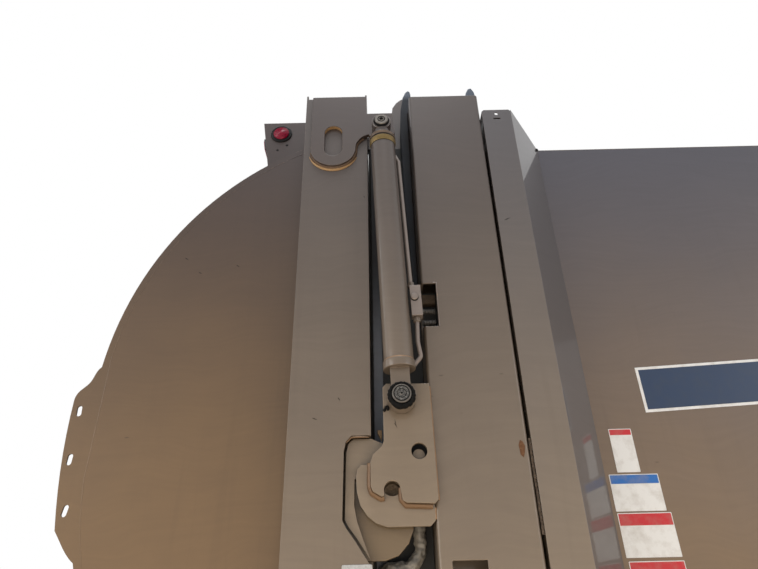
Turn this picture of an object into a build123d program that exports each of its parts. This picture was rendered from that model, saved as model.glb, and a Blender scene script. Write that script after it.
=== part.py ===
"""Rear end of a refuse truck body: domed tailgate, its lift cylinders and the rear body section.

Millimetres. +X points to the truck's front, +Y to its left and +Z up. The origin lies under
the middle of the whole piece, on the floor that its long sills stand on.
"""
import math
import os

from build123d import *

os.makedirs("parts", exist_ok=True)

# Lengths along the truck, from the tailgate's rear edge to the front joint
overall_length = 2818
flange_proud = 51
dome_depth = 573
gate_post_width = 215
post_gap = 151
body_post_width = 246
cover_gap = 8
cover_width = 102
cover_run = 110

# Widths across the truck, as distances out from its middle
wall_out = 1100
post_depth = 120
gate_side_step = 20
lamp_box_inset = 20
lamp_box_depth = 100
arm_inset = 25

# Heights over the floor
sill_height = 150
crossmember_height = 95
roof_top = 2045
body_post_top = 2203
body_post_foot = 40
gate_post_top = 2200
gate_post_foot = 60
cover_top = 2128
header_height = 100
gate_header_drop = 20
lamp_box_top = 2230

# Sheet and plate thicknesses
wall = 5
floor_thick = 6
post_wall = 6
plate_thick = 14
dome_side_thick = 6
dome_skin = 4
cover_skin = 4
fold_skin = 3
running = 0.05
face_gap = 1

# Dome of the tailgate: one arc above, one flat arc behind, mirrored below
dome_middle = 1085
dome_radius = 999
dome_radius_rise = 78
dome_turn = math.radians(5.4)
dome_lip = 20
dome_lap = 35

# Hinge of the tailgate
pivot_ahead = 178
pivot_rise = 115
hinge_pin_r = 25
hinge_boss_r = 50
arm_thick = 30
bracket_gap = 6
bracket_thick = 15
hinge_head_r = 36
hinge_head_thick = 8

# Lift cylinder, pin to pin, and the height and place of its pins
lower_pin_back = 71
lower_pin_height = 1072
upper_pin_ahead = 49
closed_rise = 954
barrel_r = 40
barrel_bore_r = 32
collar_r = 43
eye_thick = 44
lower_eye_r = 37
upper_eye_r = 32
pin_r = 16
pin_head_r = 24.5
pin_head_thick = 10
pin_head_round = 2
rod_r = 20
rod_length = 700
neck_width = 50
collar_from = 74
collar_length = 22
gland_to = 895
gland_length = 30

# Places worked out from the sizes above
rear_x = -overall_length / 2
front_x = overall_length / 2
dome_x = rear_x + flange_proud
gate_rear_x = dome_x + dome_depth
gate_front_x = gate_rear_x + gate_post_width
body_rear_x = gate_front_x + post_gap
body_post_front_x = body_rear_x + body_post_width
cover_rear_x = body_post_front_x + cover_gap
cover_front_x = cover_rear_x + cover_width
cover_foot_x = cover_front_x + cover_run
wall_in = wall_out - wall
post_out = wall_out + post_depth
plate_out = post_out + plate_thick
cylinder_out = plate_out + face_gap + eye_thick / 2
gate_side_out = wall_out + gate_side_step
lamp_box_out = wall_out - lamp_box_inset
arm_out = wall_out - arm_inset
header_top = roof_top + header_height
pivot_x = body_rear_x + pivot_ahead
pivot_height = header_top + pivot_rise
lower_pin_x = body_rear_x - lower_pin_back
upper_pin_x = gate_front_x + upper_pin_ahead
upper_pin_height = lower_pin_height + closed_rise


def side_view(out):
    """Plane of the right side view, out from the middle, facing away from it."""
    return Plane.XZ.offset(out)


def write_node(part, name):
    """Label a finished piece and write it to its own file."""
    part.label = name
    export_step(part, f"parts/{name}.step")


def write_pair(part, name):
    """Write the right piece, and its mirror image as the left one."""
    write_node(part, f"{name}_right")
    with BuildPart() as other:
        mirror(part, about=Plane.XZ)
    write_node(other.part, f"{name}_left")


def corner_points(points, base_x, base_z=0):
    """Turn points given from a base corner into places in the side view."""
    return [(base_x + x, base_z + z) for x, z in points]


def dome_arc_x():
    """Give the place along the truck of the centre of the dome's upper arc."""
    return dome_x + dome_radius + dome_radius_rise * math.tan(dome_turn / 2)


def dome_end(inset):
    """Give the height over the dome's middle where its outline, set in, meets the posts."""
    return dome_radius_rise + math.sqrt((dome_radius - inset) ** 2 - (gate_rear_x - dome_arc_x()) ** 2)


def dome_lines(inset):
    """Draw the tailgate's domed outline, set in by an amount, closed along its front."""
    radius = dome_radius - inset
    arc_x = dome_arc_x()
    arc_z = dome_middle + dome_radius_rise
    start = (gate_rear_x, dome_middle + dome_end(inset))
    start_angle = math.atan2(start[1] - arc_z, gate_rear_x - arc_x)
    half_angle = (start_angle + math.pi - dome_turn) / 2
    middle = (arc_x + radius * math.cos(half_angle), arc_z + radius * math.sin(half_angle))
    joint = (arc_x - radius * math.cos(dome_turn), arc_z + radius * math.sin(dome_turn))
    upper = [start, middle, joint]
    lower = [(x, 2 * dome_middle - z) for x, z in reversed(upper)]
    ThreePointArc(*upper)
    ThreePointArc(joint, (dome_x + inset, dome_middle), lower[0])
    ThreePointArc(*lower)
    Line(lower[-1], start)


# Long sills: two channels that the whole section stands on
sill_spacing = 860
sill_width = 75
sill_wall = 8
sill_bolt_r = 9.5
sill_bolt_from_end = 164
sill_bolt_span = front_x - body_rear_x - 2 * sill_bolt_from_end
with BuildPart() as long_sills:
    for side in (-1, 1):
        sill_plane = Plane.YZ.offset(body_rear_x)
        with BuildSketch(sill_plane):
            with Locations((side * sill_spacing / 2, sill_height / 2)):
                Rectangle(sill_width, sill_height)
            with Locations((side * (sill_spacing / 2 - sill_wall), sill_height / 2)):
                Rectangle(sill_width, sill_height - 2 * sill_wall, mode=Mode.SUBTRACT)
        extrude(amount=front_x - body_rear_x)
    with BuildSketch(Plane.XY):
        with Locations(((body_rear_x + front_x) / 2, 0)):
            with GridLocations(sill_bolt_span, sill_spacing, 2, 2):
                Circle(sill_bolt_r)
    extrude(amount=sill_wall, mode=Mode.SUBTRACT)
write_node(long_sills.part, "long_sills")

# Crossmembers: hat channels under the floor, from wall to wall
crossmember_width = 90
crossmember_wall = 5
crossmember_count = 5
crossmember_pitch = (front_x - body_rear_x - crossmember_width) / (crossmember_count - 1)
crossmember_top = sill_height + crossmember_height
with BuildPart() as crossmembers:
    with BuildSketch(side_view(wall_in)):
        for step in range(crossmember_count):
            place_x = body_rear_x + crossmember_width / 2 + step * crossmember_pitch
            with Locations((place_x, sill_height + crossmember_height / 2)):
                Rectangle(crossmember_width, crossmember_height)
            with Locations((place_x, sill_height + (crossmember_height - crossmember_wall) / 2)):
                Rectangle(
                    crossmember_width - 2 * crossmember_wall,
                    crossmember_height - crossmember_wall,
                    mode=Mode.SUBTRACT,
                )
    extrude(amount=-2 * wall_in)
write_node(crossmembers.part, "crossmembers")

# Floor, roof and side walls of the load space
with BuildPart() as floor_plate:
    with BuildSketch(Plane.XY.offset(crossmember_top)):
        with Locations(((body_rear_x + front_x) / 2, 0)):
            Rectangle(front_x - body_rear_x, 2 * wall_in)
    extrude(amount=floor_thick)
write_node(floor_plate.part, "floor_plate")

roof_round = 4
with BuildPart() as roof_panel:
    with BuildSketch(Plane.XY.offset(roof_top - wall)):
        with Locations(((body_rear_x + front_x) / 2, 0)):
            Rectangle(front_x - body_rear_x, 2 * wall_out)
    extrude(amount=wall)
    roof_edges = roof_panel.edges().filter_by(Axis.X).group_by(Axis.Z)[-1]
    fillet(roof_edges, roof_round)
write_node(roof_panel.part, "roof_panel")

with BuildPart() as side_wall:
    with BuildSketch(side_view(wall_in)):
        wall_height = roof_top - wall - sill_height
        with Locations(((body_rear_x + front_x) / 2, sill_height + wall_height / 2)):
            Rectangle(front_x - body_rear_x, wall_height)
    extrude(amount=wall)
write_pair(side_wall.part, "side_wall")

# Front joint ring: a collar round the section's open front, bolted to the next section
ring_depth = 60
ring_length = 60
ring_bolt_r = 9
ring_bolt_drop = 60
ring_bolt_rise = 200
ring_bolt_top = roof_top - ring_bolt_drop
ring_bolt_foot = sill_height + ring_bolt_rise
with BuildPart() as front_ring:
    with BuildSketch(Plane.YZ.offset(front_x - ring_length)):
        ring_height = roof_top + ring_depth - sill_height
        with Locations((0, sill_height + ring_height / 2)):
            Rectangle(2 * (wall_out + ring_depth), ring_height)
        with Locations((0, (sill_height + roof_top) / 2)):
            Rectangle(2 * wall_out, roof_top - sill_height, mode=Mode.SUBTRACT)
    extrude(amount=ring_length)
    with BuildSketch(Plane.YZ.offset(front_x)):
        with Locations((0, (ring_bolt_top + ring_bolt_foot) / 2)):
            with GridLocations(2 * wall_out + ring_depth, ring_bolt_top - ring_bolt_foot, 2, 2):
                Circle(ring_bolt_r)
    extrude(amount=-ring_length, mode=Mode.SUBTRACT)
write_node(front_ring.part, "front_ring")

# Rear posts of the body: folded boxes on the walls, open on top
edge_plate_thick = 8
post_round = 10
window_length = 43
window_foot = 1289
window_top = 1427
window_depth = 62
access_hole_back = 33
access_hole_length = 80
access_hole_top = 694
access_hole_height = 150
with BuildPart() as rear_post:
    with BuildSketch(Plane.XY.offset(body_post_foot)):
        with Locations(((body_rear_x + body_post_front_x) / 2, -(post_out + wall_out) / 2)):
            post_face = Rectangle(body_post_width, post_depth)
            fillet(post_face.vertices().group_by(Axis.Y)[0], post_round)
            Rectangle(body_post_width - 2 * edge_plate_thick, post_depth - 2 * post_wall, mode=Mode.SUBTRACT)
    extrude(amount=body_post_top - body_post_foot)
    cap_drop = 55
    with BuildSketch(Plane.XY.offset(body_post_top - cap_drop)):
        with Locations(((body_rear_x + body_post_front_x) / 2, -(post_out + wall_out) / 2)):
            Rectangle(body_post_width - edge_plate_thick, post_depth - post_wall)
    extrude(amount=post_wall)
    with BuildSketch(side_view(post_out)):
        with Locations((body_rear_x + window_length / 2, (window_foot + window_top) / 2)):
            Rectangle(window_length, window_top - window_foot)
    extrude(amount=-window_depth, mode=Mode.SUBTRACT)
    with BuildSketch(side_view(post_out)):
        hole_middle_x = body_rear_x + access_hole_back + access_hole_length / 2
        with Locations((hole_middle_x, access_hole_top - access_hole_height / 2)):
            Rectangle(access_hole_length, access_hole_height)
    extrude(amount=-window_depth, mode=Mode.SUBTRACT)
write_pair(rear_post.part, "rear_post")

# Fins on the rear posts: a long one on the edge behind and a short one on top in front
fin_in = wall_out + 12
fin_thick = 30
rear_fin = [
    (0, 1250),
    (-17, 1500),
    (-30, 1806),
    (-33, 2086),
    (-27, 2222),
    (-17, 2286),
    (-6, 2313),
    (4, 2324),
    (11, 2318),
    (14, 2303),
    (16, body_post_top),
    (0, body_post_top),
]
front_fin = [
    (-27, body_post_top),
    (-21, 2305),
    (-12, 2325),
    (0, 2331),
    (10, 2310),
    (16, 2272),
    (19, 2190),
    (10, 2150),
    (0, 2140),
    (0, body_post_top),
]
with BuildPart() as post_fins:
    with BuildSketch(side_view(fin_in)):
        for fin_outline, base_x in ((rear_fin, body_rear_x), (front_fin, body_post_front_x)):
            with BuildLine():
                Polyline(*corner_points(fin_outline, base_x), close=True)
            make_face()
    extrude(amount=fin_thick)
write_pair(post_fins.part, "post_fins")

# Rear header: a box across the roof between the rear posts
with BuildPart() as rear_header:
    with BuildSketch(side_view(wall_out)):
        with Locations(((body_rear_x + body_post_front_x) / 2, (roof_top + header_top) / 2)):
            Rectangle(body_post_width, header_top - roof_top)
            Rectangle(
                body_post_width - 2 * post_wall,
                header_top - roof_top - 2 * post_wall,
                mode=Mode.SUBTRACT,
            )
    extrude(amount=-2 * wall_out)
write_node(rear_header.part, "rear_header")

# Slanted covers: folded sheet ahead of each rear post, open on top
cover_kink_drop = 40
cover_kink_run = 55
cover_corner = 7
cover_hole_r = 6
cover_hole_drop = 19
cover_hole_back = 50
cover_slot_drop = 42
with BuildPart() as post_cover:
    with BuildSketch(Plane.XY.offset(sill_height)):
        with BuildLine():
            Polyline(
                (cover_rear_x, -wall_out),
                (cover_rear_x, -post_out),
                (cover_front_x, -post_out),
                (cover_foot_x, -wall_out),
                close=True,
            )
        make_face()
        offset(amount=-cover_skin, mode=Mode.SUBTRACT)
    extrude(amount=cover_top - sill_height)
    with BuildSketch(side_view(wall_out)):
        with BuildLine():
            Polyline(
                (cover_front_x, cover_top),
                (cover_front_x + cover_kink_run, cover_top - cover_kink_drop),
                (cover_foot_x, roof_top),
                (cover_foot_x, cover_top),
                close=True,
            )
        make_face()
        with BuildLine():
            Polyline(
                (cover_front_x - cover_corner, cover_top),
                (cover_front_x, cover_top - cover_corner),
                (cover_front_x, cover_top),
                close=True,
            )
        make_face()
        with BuildLine():
            Polyline(
                (cover_rear_x + cover_corner, cover_top),
                (cover_rear_x, cover_top - cover_corner),
                (cover_rear_x, cover_top),
                close=True,
            )
        make_face()
    extrude(amount=post_depth, mode=Mode.SUBTRACT)
    with BuildSketch(side_view(post_out)):
        with Locations((cover_rear_x + cover_hole_back, cover_top - cover_hole_drop)):
            Circle(cover_hole_r)
        with Locations((cover_rear_x + cover_hole_back, cover_top - cover_slot_drop)):
            Rectangle(4 * cover_hole_r, cover_hole_r)
    extrude(amount=-cover_skin, mode=Mode.SUBTRACT)
write_pair(post_cover.part, "post_cover")

# Latch plates: on the edge of each rear post, with the lower cylinder pin and the notch
latch_hole_r = 20
latch_hole = (40, -131)
notch_centre = (-30, -221)
notch_r = 20
latch_seat = 9
latch_top_seat = 4
latch_outline = [
    (lower_pin_back + latch_top_seat, 44),
    (lower_pin_back + latch_seat, -246),
    (lower_pin_back, -255),
    (4, -252),
    (-6, -246),
    (notch_centre[0] + notch_r, notch_centre[1]),
    (notch_centre[0] - notch_r, notch_centre[1]),
    (-50, -235),
    (-56, -237),
    (-77, -225),
    (-82, -213),
    (-82, -156),
    (-76, -137),
    (-54, -118),
    (-48, -105),
    (-48, 36),
    (-38, 46),
]
lock_places = corner_points([notch_centre], lower_pin_x, lower_pin_height)
with BuildPart() as latch_plate:
    with BuildSketch(side_view(post_out)):
        with BuildLine():
            Polyline(*corner_points(latch_outline, lower_pin_x, lower_pin_height), close=True)
        make_face()
        with Locations(*corner_points([latch_hole], lower_pin_x, lower_pin_height)):
            Circle(latch_hole_r, mode=Mode.SUBTRACT)
        with Locations(*lock_places):
            Circle(notch_r, mode=Mode.SUBTRACT)
        with Locations((lower_pin_x, lower_pin_height)):
            Circle(pin_r + running, mode=Mode.SUBTRACT)
    extrude(amount=plate_out - post_out)
write_pair(latch_plate.part, "latch_plate")

# Guide plates: a claw behind each latch plate, on a frame that reaches into the gate post
guide_out = post_out - face_gap
claw_thick = 13
frame_thick = 10
guide_throat_r = 24
guide_throat = (-30, -210)
claw_nose_drop = 12
claw_outline = [
    (-86, -159),
    (-106, -159),
    (-116, -170),
    (-118, -192),
    (-116, -223),
    (-108, -254),
    (-91, -278),
    (-71, -294),
    (-44, -303),
    (lower_pin_back - claw_nose_drop, -303),
    (lower_pin_back, -303 + claw_nose_drop),
    (lower_pin_back, -159),
]
frame_outer = [
    (post_gap, -150),
    (70, -135),
    (27, -103),
    (0, -91),
    (-47, -91),
    (-59, -104),
    (-64, -126),
    (-66, -284),
    (-57, -300),
    (-36, -327),
    (-4, -374),
]
frame_inner = [
    (-25, -320),
    (-36, -288),
    (-43, -252),
    (-42, -190),
    (post_gap, -190),
]
with BuildPart() as guide_plate:
    with BuildSketch(side_view(guide_out - claw_thick)):
        with BuildLine():
            Polyline(*corner_points(claw_outline, lower_pin_x, lower_pin_height), close=True)
        make_face()
        with Locations(*corner_points([guide_throat], lower_pin_x, lower_pin_height)):
            Circle(guide_throat_r, mode=Mode.SUBTRACT)
    extrude(amount=claw_thick)
    with BuildSketch(side_view(guide_out - claw_thick - frame_thick)):
        with BuildLine():
            frame_outline = frame_outer + frame_inner
            Polyline(*corner_points(frame_outline, gate_front_x, lower_pin_height), close=True)
        make_face()
    extrude(amount=frame_thick)
write_pair(guide_plate.part, "guide_plate")

# Lower cylinder pins, in the latch plates
cylinder_in = cylinder_out - eye_thick / 2
cylinder_side = cylinder_out + eye_thick / 2
with BuildPart() as lower_pins:
    with BuildSketch(side_view(post_out + face_gap)):
        with Locations((lower_pin_x, lower_pin_height)):
            Circle(pin_r)
    extrude(amount=cylinder_side - post_out)
    with BuildSketch(side_view(cylinder_side + face_gap)):
        with Locations((lower_pin_x, lower_pin_height)):
            Circle(pin_head_r)
    extrude(amount=pin_head_thick)
    fillet(lower_pins.edges().filter_by(GeomType.CIRCLE).sort_by(Axis.Y)[0], pin_head_round)
    mirror(about=Plane.XZ)
write_node(lower_pins.part, "lower_pins")

# Hinge brackets on the rear header, in pairs beside each hinge arm, and their pins
bracket_half = 62
arm_in = arm_out - arm_thick
bracket_starts = (arm_out + bracket_gap, arm_in - bracket_gap - bracket_thick)
with BuildPart() as hinge_brackets:
    for start_out in bracket_starts:
        with BuildSketch(side_view(start_out)):
            with BuildLine():
                Polyline(
                    (pivot_x - bracket_half, header_top),
                    (pivot_x + bracket_half, header_top),
                    (pivot_x + hinge_boss_r, pivot_height),
                    (pivot_x - hinge_boss_r, pivot_height),
                    close=True,
                )
            make_face()
            with Locations((pivot_x, pivot_height)):
                Circle(hinge_boss_r)
                Circle(hinge_pin_r + running, mode=Mode.SUBTRACT)
        extrude(amount=bracket_thick)
    mirror(about=Plane.XZ)
write_node(hinge_brackets.part, "hinge_brackets")

pin_inner = bracket_starts[1] - face_gap - hinge_head_thick
pin_outer = bracket_starts[0] + bracket_thick + face_gap + hinge_head_thick
with BuildPart() as hinge_pins:
    with BuildSketch(side_view(pin_inner)):
        with Locations((pivot_x, pivot_height)):
            Circle(hinge_pin_r)
    extrude(amount=pin_outer - pin_inner)
    with BuildSketch(side_view(pin_inner)):
        with Locations((pivot_x, pivot_height)):
            Circle(hinge_head_r)
    extrude(amount=hinge_head_thick)
    with BuildSketch(side_view(pin_outer - hinge_head_thick)):
        with Locations((pivot_x, pivot_height)):
            Circle(hinge_head_r)
    extrude(amount=hinge_head_thick)
    mirror(about=Plane.XZ)
write_node(hinge_pins.part, "hinge_pins")

# Seal frame: the jamb round the load opening that the tailgate closes on
seal_clear = 7
seal_thick = 20
jamb_proud = 12
with BuildPart() as seal_frame:
    with BuildSketch(Plane.YZ.offset(gate_front_x + seal_clear)):
        jamb_top = roof_top + jamb_proud
        jamb_foot = sill_height - jamb_proud
        with Locations((0, (jamb_top + jamb_foot) / 2)):
            Rectangle(2 * (wall_out + jamb_proud), jamb_top - jamb_foot)
            Rectangle(
                2 * (wall_out + jamb_proud - seal_thick),
                jamb_top - jamb_foot - 2 * seal_thick,
                mode=Mode.SUBTRACT,
            )
    extrude(amount=post_gap - seal_clear)
write_node(seal_frame.part, "seal_frame")

# Lock hoses: a loop of hose from each rear post to the jamb, below the claw
hose_r = 17
hose_out = 1140
hose_leg = 36
hose_foot = [(-59, -388), (-111, -390)]
hose_end = (-124, -388)
hose_start_drop = -260
hose_bend_radii = (22, 40, 40, 22)
with BuildPart() as lock_hose:
    with BuildLine():
        hose_points = [
            (body_rear_x, -hose_out, lower_pin_height + hose_start_drop),
            (body_rear_x - hose_leg, -hose_out, lower_pin_height + hose_start_drop - hose_r),
            (body_rear_x - hose_leg, -hose_out, lower_pin_height + hose_foot[0][1] + hose_leg),
        ]
        for foot_x, foot_z in hose_foot:
            hose_points.append((body_rear_x + foot_x, -hose_out, lower_pin_height + foot_z))
        end_x, end_z = hose_end
        hose_points.append((body_rear_x + end_x, -wall_out - jamb_proud, lower_pin_height + end_z))
        FilletPolyline(*hose_points, radius=list(hose_bend_radii))
    with BuildSketch(Plane(origin=hose_points[0], z_dir=(-1, 0, 0))):
        Circle(hose_r)
    sweep()
    add(seal_frame.part, mode=Mode.SUBTRACT)
write_pair(lock_hose.part, "lock_hose")

# Domed side plates of the tailgate, each with its slotted lamp flange
flange_corners = [(70, 150), (49, 135), (33, 96), (10, 72), (0, 46)]
flange_foot = [(34, -296), (63, -335), (97, -370), (130, -385)]
flange_middle = (8, -125)
flange_slots = [(22, 14, 4), (28, -119, -2), (48, -249, -8)]
slot_length = 30
slot_width = 14
dome_side_in = gate_side_out - dome_side_thick
with BuildPart() as gate_side:
    with BuildSketch(side_view(dome_side_in)):
        with BuildLine():
            dome_lines(0)
        make_face()
        with BuildLine():
            Spline(*corner_points(flange_corners, rear_x, dome_middle))
            flange_bow = [flange_corners[-1], flange_middle, flange_foot[0]]
            ThreePointArc(*corner_points(flange_bow, rear_x, dome_middle))
            Spline(*corner_points(flange_foot, rear_x, dome_middle))
            Line(*corner_points([flange_foot[-1], flange_corners[0]], rear_x, dome_middle))
        make_face()
        for slot_x, slot_z, lean in flange_slots:
            with Locations(Location((rear_x + slot_x, dome_middle + slot_z, 0), (0, 0, 90 + lean))):
                SlotOverall(slot_length, slot_width, mode=Mode.SUBTRACT)
    extrude(amount=dome_side_thick)
write_pair(gate_side.part, "gate_side")

# Domed skin of the tailgate, between its side plates
with BuildPart() as rear_wrap:
    with BuildSketch(side_view(dome_side_in)):
        with BuildLine():
            dome_lines(dome_lip)
        make_face()
        with BuildLine():
            dome_lines(dome_lip + dome_skin)
        make_face(mode=Mode.SUBTRACT)
    extrude(amount=-2 * dome_side_in)
write_node(rear_wrap.part, "rear_wrap")

# Side posts of the tailgate, with the lock's pocket in their front edge
gate_edge_rise = 16
pocket_depth = 52
pocket_floor = 6
pocket_outline = [
    (20, -86),
    (-50, -86),
    (-64, -101),
    (-69, -125),
    (-71, -286),
    (-62, -303),
    (-40, -332),
    (-3, -387),
    (20, -387),
]
with BuildPart() as gate_post:
    gate_middle_x = (gate_rear_x + gate_front_x) / 2
    with BuildSketch(Plane.XY.offset(gate_post_foot)):
        with Locations((gate_middle_x, -(post_out + wall_out) / 2)):
            Rectangle(gate_post_width, post_depth)
            Rectangle(gate_post_width - 2 * post_wall, post_depth - 2 * post_wall, mode=Mode.SUBTRACT)
    extrude(amount=gate_post_top - gate_post_foot)
    with BuildSketch(Plane.XY.offset(gate_post_top - cap_drop)):
        with Locations((gate_middle_x, -(post_out + wall_out) / 2)):
            Rectangle(gate_post_width - post_wall, post_depth - post_wall)
    extrude(amount=post_wall)
    with BuildSketch(Plane.XY.offset(gate_post_top)):
        for plate_x in (gate_rear_x + post_wall / 2, gate_front_x - post_wall / 2):
            with Locations((plate_x, -(post_out + wall_out) / 2)):
                Rectangle(post_wall, post_depth)
    extrude(amount=gate_edge_rise)
    with BuildSketch(side_view(post_out)):
        with BuildLine():
            Polyline(*corner_points(pocket_outline, gate_front_x, lower_pin_height), close=True)
        make_face()
    extrude(amount=-pocket_depth, mode=Mode.SUBTRACT)
    with BuildSketch(side_view(post_out - pocket_depth)):
        floor_width = gate_post_width - post_wall
        pocket_top = lower_pin_height + pocket_outline[0][1]
        pocket_foot = lower_pin_height + pocket_outline[-1][1]
        with Locations((gate_middle_x, (pocket_top + pocket_foot) / 2)):
            Rectangle(floor_width, pocket_top - pocket_foot)
    extrude(amount=-pocket_floor)
write_pair(gate_post.part, "gate_post")

# Header and sill of the tailgate, boxes between its posts that hold the dome's ends
gate_header_top = gate_post_top - gate_header_drop
gate_header_foot = dome_middle + dome_end(0) - dome_lap
gate_sill_top = dome_middle - dome_end(dome_lip) + dome_lap
with BuildPart() as gate_header:
    with BuildSketch(side_view(wall_out)):
        with Locations((gate_middle_x, (gate_header_top + gate_header_foot) / 2)):
            Rectangle(gate_post_width, gate_header_top - gate_header_foot)
            Rectangle(
                gate_post_width - 2 * post_wall,
                gate_header_top - gate_header_foot - 2 * post_wall,
                mode=Mode.SUBTRACT,
            )
    extrude(amount=-2 * wall_out)
write_node(gate_header.part, "gate_header")

with BuildPart() as gate_sill:
    with BuildSketch(side_view(wall_out)):
        with Locations((gate_middle_x, (gate_sill_top + gate_post_foot) / 2)):
            Rectangle(gate_post_width, gate_sill_top - gate_post_foot)
            Rectangle(
                gate_post_width - 2 * post_wall,
                gate_sill_top - gate_post_foot - 2 * post_wall,
                mode=Mode.SUBTRACT,
            )
    extrude(amount=-2 * wall_out)
write_node(gate_sill.part, "gate_sill")

# Ears: shaped plates on the tailgate posts that the cylinders push on
ear_lobe_back = 115
ear_lobe_drop = 74
ear_lobe_r = 76
ear_step = 60
ear_rise = 83
ear_top = upper_pin_height + ear_rise
ear_post_drop = 6
ear_slot_height = 134
ear_slot_width = 60
ear_slot_rise = 33
ear_nose = 40
lobe_x = gate_front_x - ear_lobe_back
lobe_z = upper_pin_height - ear_lobe_drop
boss_r = 46
with BuildPart() as gate_ear:
    with BuildSketch(side_view(post_out)):
        with BuildLine():
            Line((lobe_x - ear_lobe_r, gate_post_top - ear_post_drop), (lobe_x - ear_lobe_r, lobe_z))
            ThreePointArc(
                (lobe_x - ear_lobe_r, lobe_z),
                (lobe_x, lobe_z - ear_lobe_r),
                (lobe_x + ear_lobe_r, lobe_z),
            )
            ThreePointArc(
                (lobe_x + ear_lobe_r, lobe_z),
                (
                    lobe_x + ear_lobe_r + ear_step * (1 - math.sqrt(0.5)),
                    lobe_z + ear_step * math.sqrt(0.5),
                ),
                (lobe_x + ear_lobe_r + ear_step, lobe_z + ear_step),
            )
            Polyline(
                (lobe_x + ear_lobe_r + ear_step, lobe_z + ear_step),
                (upper_pin_x + ear_nose, lobe_z + ear_step),
                (upper_pin_x + ear_nose, ear_top),
                (gate_front_x, ear_top),
                (gate_front_x, gate_post_top - ear_post_drop),
                (lobe_x - ear_lobe_r, gate_post_top - ear_post_drop),
            )
        make_face()
        with Locations((upper_pin_x, upper_pin_height)):
            Circle(boss_r)
        with Locations(Location((lobe_x, lobe_z + ear_slot_rise, 0), (0, 0, 90))):
            SlotOverall(ear_slot_height, ear_slot_width, mode=Mode.SUBTRACT)
    extrude(amount=plate_out - post_out)
write_pair(gate_ear.part, "gate_ear")

# Hinge arms: goosenecks from the tailgate's header over the gap to the pivots
arm_outline = [
    (-190, 0),
    (0, 0),
    (0, -90),
    (133, -90),
    (145, -78),
    (145, -20),
]
arm_back = [
    (-190, 50),
    (-20, 60),
    (94, 66),
    (94, 96),
    (97, 123),
    (112, 150),
    (130, 167),
    (150, 174),
    (190, 174),
]
with BuildPart() as hinge_arm:
    with BuildSketch(side_view(arm_in)):
        with BuildLine():
            Polyline(
                *corner_points(arm_outline, gate_front_x, gate_header_top),
                (pivot_x - hinge_boss_r / 2, pivot_height - hinge_boss_r),
                (pivot_x, pivot_height + hinge_boss_r),
                *corner_points(list(reversed(arm_back)), gate_front_x, gate_header_top),
                close=True,
            )
        make_face()
        with Locations((pivot_x, pivot_height)):
            Circle(hinge_boss_r)
            Circle(hinge_pin_r + running, mode=Mode.SUBTRACT)
    extrude(amount=arm_thick)
write_pair(hinge_arm.part, "hinge_arm")

# Lamp boxes on the dome's shoulders, with their side markers and rear lamps
lamp_box_length = 183
lamp_box_height = 345
lamp_box_lean = math.radians(8)
lamp_box_foot = lamp_box_top - lamp_box_height
box_rear_x = gate_rear_x - lamp_box_length
lamp_box_corners = [
    (gate_rear_x, lamp_box_top),
    (box_rear_x, lamp_box_top),
    (box_rear_x + lamp_box_height * math.tan(lamp_box_lean), lamp_box_foot),
    (gate_rear_x, lamp_box_foot),
]
with BuildPart() as lamp_box:
    with BuildSketch(side_view(lamp_box_out - lamp_box_depth)):
        with BuildLine():
            Polyline(*lamp_box_corners, close=True)
        make_face()
        with BuildLine():
            dome_lines(dome_lip)
        make_face(mode=Mode.SUBTRACT)
    extrude(amount=lamp_box_depth)
    with BuildSketch(side_view(lamp_box_out - lamp_box_depth + fold_skin)):
        with BuildLine():
            Polyline(*lamp_box_corners, close=True)
        make_face()
        offset(amount=-fold_skin, kind=Kind.INTERSECTION)
        with BuildLine():
            dome_lines(dome_lip - fold_skin)
        make_face(mode=Mode.SUBTRACT)
    extrude(amount=lamp_box_depth - 2 * fold_skin, mode=Mode.SUBTRACT)
write_pair(lamp_box.part, "lamp_box")

marker_back = 112
marker_drop = 59
marker_height = lamp_box_top - marker_drop
grommet_r = 40
grommet_proud = 5
lens_r = 29
lens_proud = 14
lens_round = 6
with BuildPart() as marker_grommets:
    with BuildSketch(side_view(lamp_box_out)):
        with Locations((gate_rear_x - marker_back, marker_height)):
            Circle(grommet_r)
            Circle(lens_r, mode=Mode.SUBTRACT)
    extrude(amount=grommet_proud)
    mirror(about=Plane.XZ)
write_node(marker_grommets.part, "marker_grommets")

with BuildPart() as marker_lenses:
    with BuildSketch(side_view(lamp_box_out)):
        with Locations((gate_rear_x - marker_back, marker_height)):
            Circle(lens_r)
    extrude(amount=lens_proud)
    fillet(marker_lenses.edges().filter_by(GeomType.CIRCLE).sort_by(Axis.Y)[0], lens_round)
    mirror(about=Plane.XZ)
write_node(marker_lenses.part, "marker_lenses")

box_lamp_width = 84
box_lamp_height = 52
box_lamp_proud = 9
box_lamp_drop = 96
box_lamp_round = 5
lamp_middle_out = lamp_box_out - lamp_box_depth / 2
box_lamp_x = box_rear_x + box_lamp_drop * math.tan(lamp_box_lean)
box_lamp_face = Plane(
    origin=(box_lamp_x, -lamp_middle_out, lamp_box_top - box_lamp_drop),
    x_dir=(0, -1, 0),
    z_dir=(-math.cos(lamp_box_lean), 0, -math.sin(lamp_box_lean)),
)
with BuildPart() as box_lamps:
    with BuildSketch(box_lamp_face):
        RectangleRounded(box_lamp_width, box_lamp_height, box_lamp_round)
    extrude(amount=box_lamp_proud)
    mirror(about=Plane.XZ)
write_node(box_lamps.part, "box_lamps")

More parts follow.
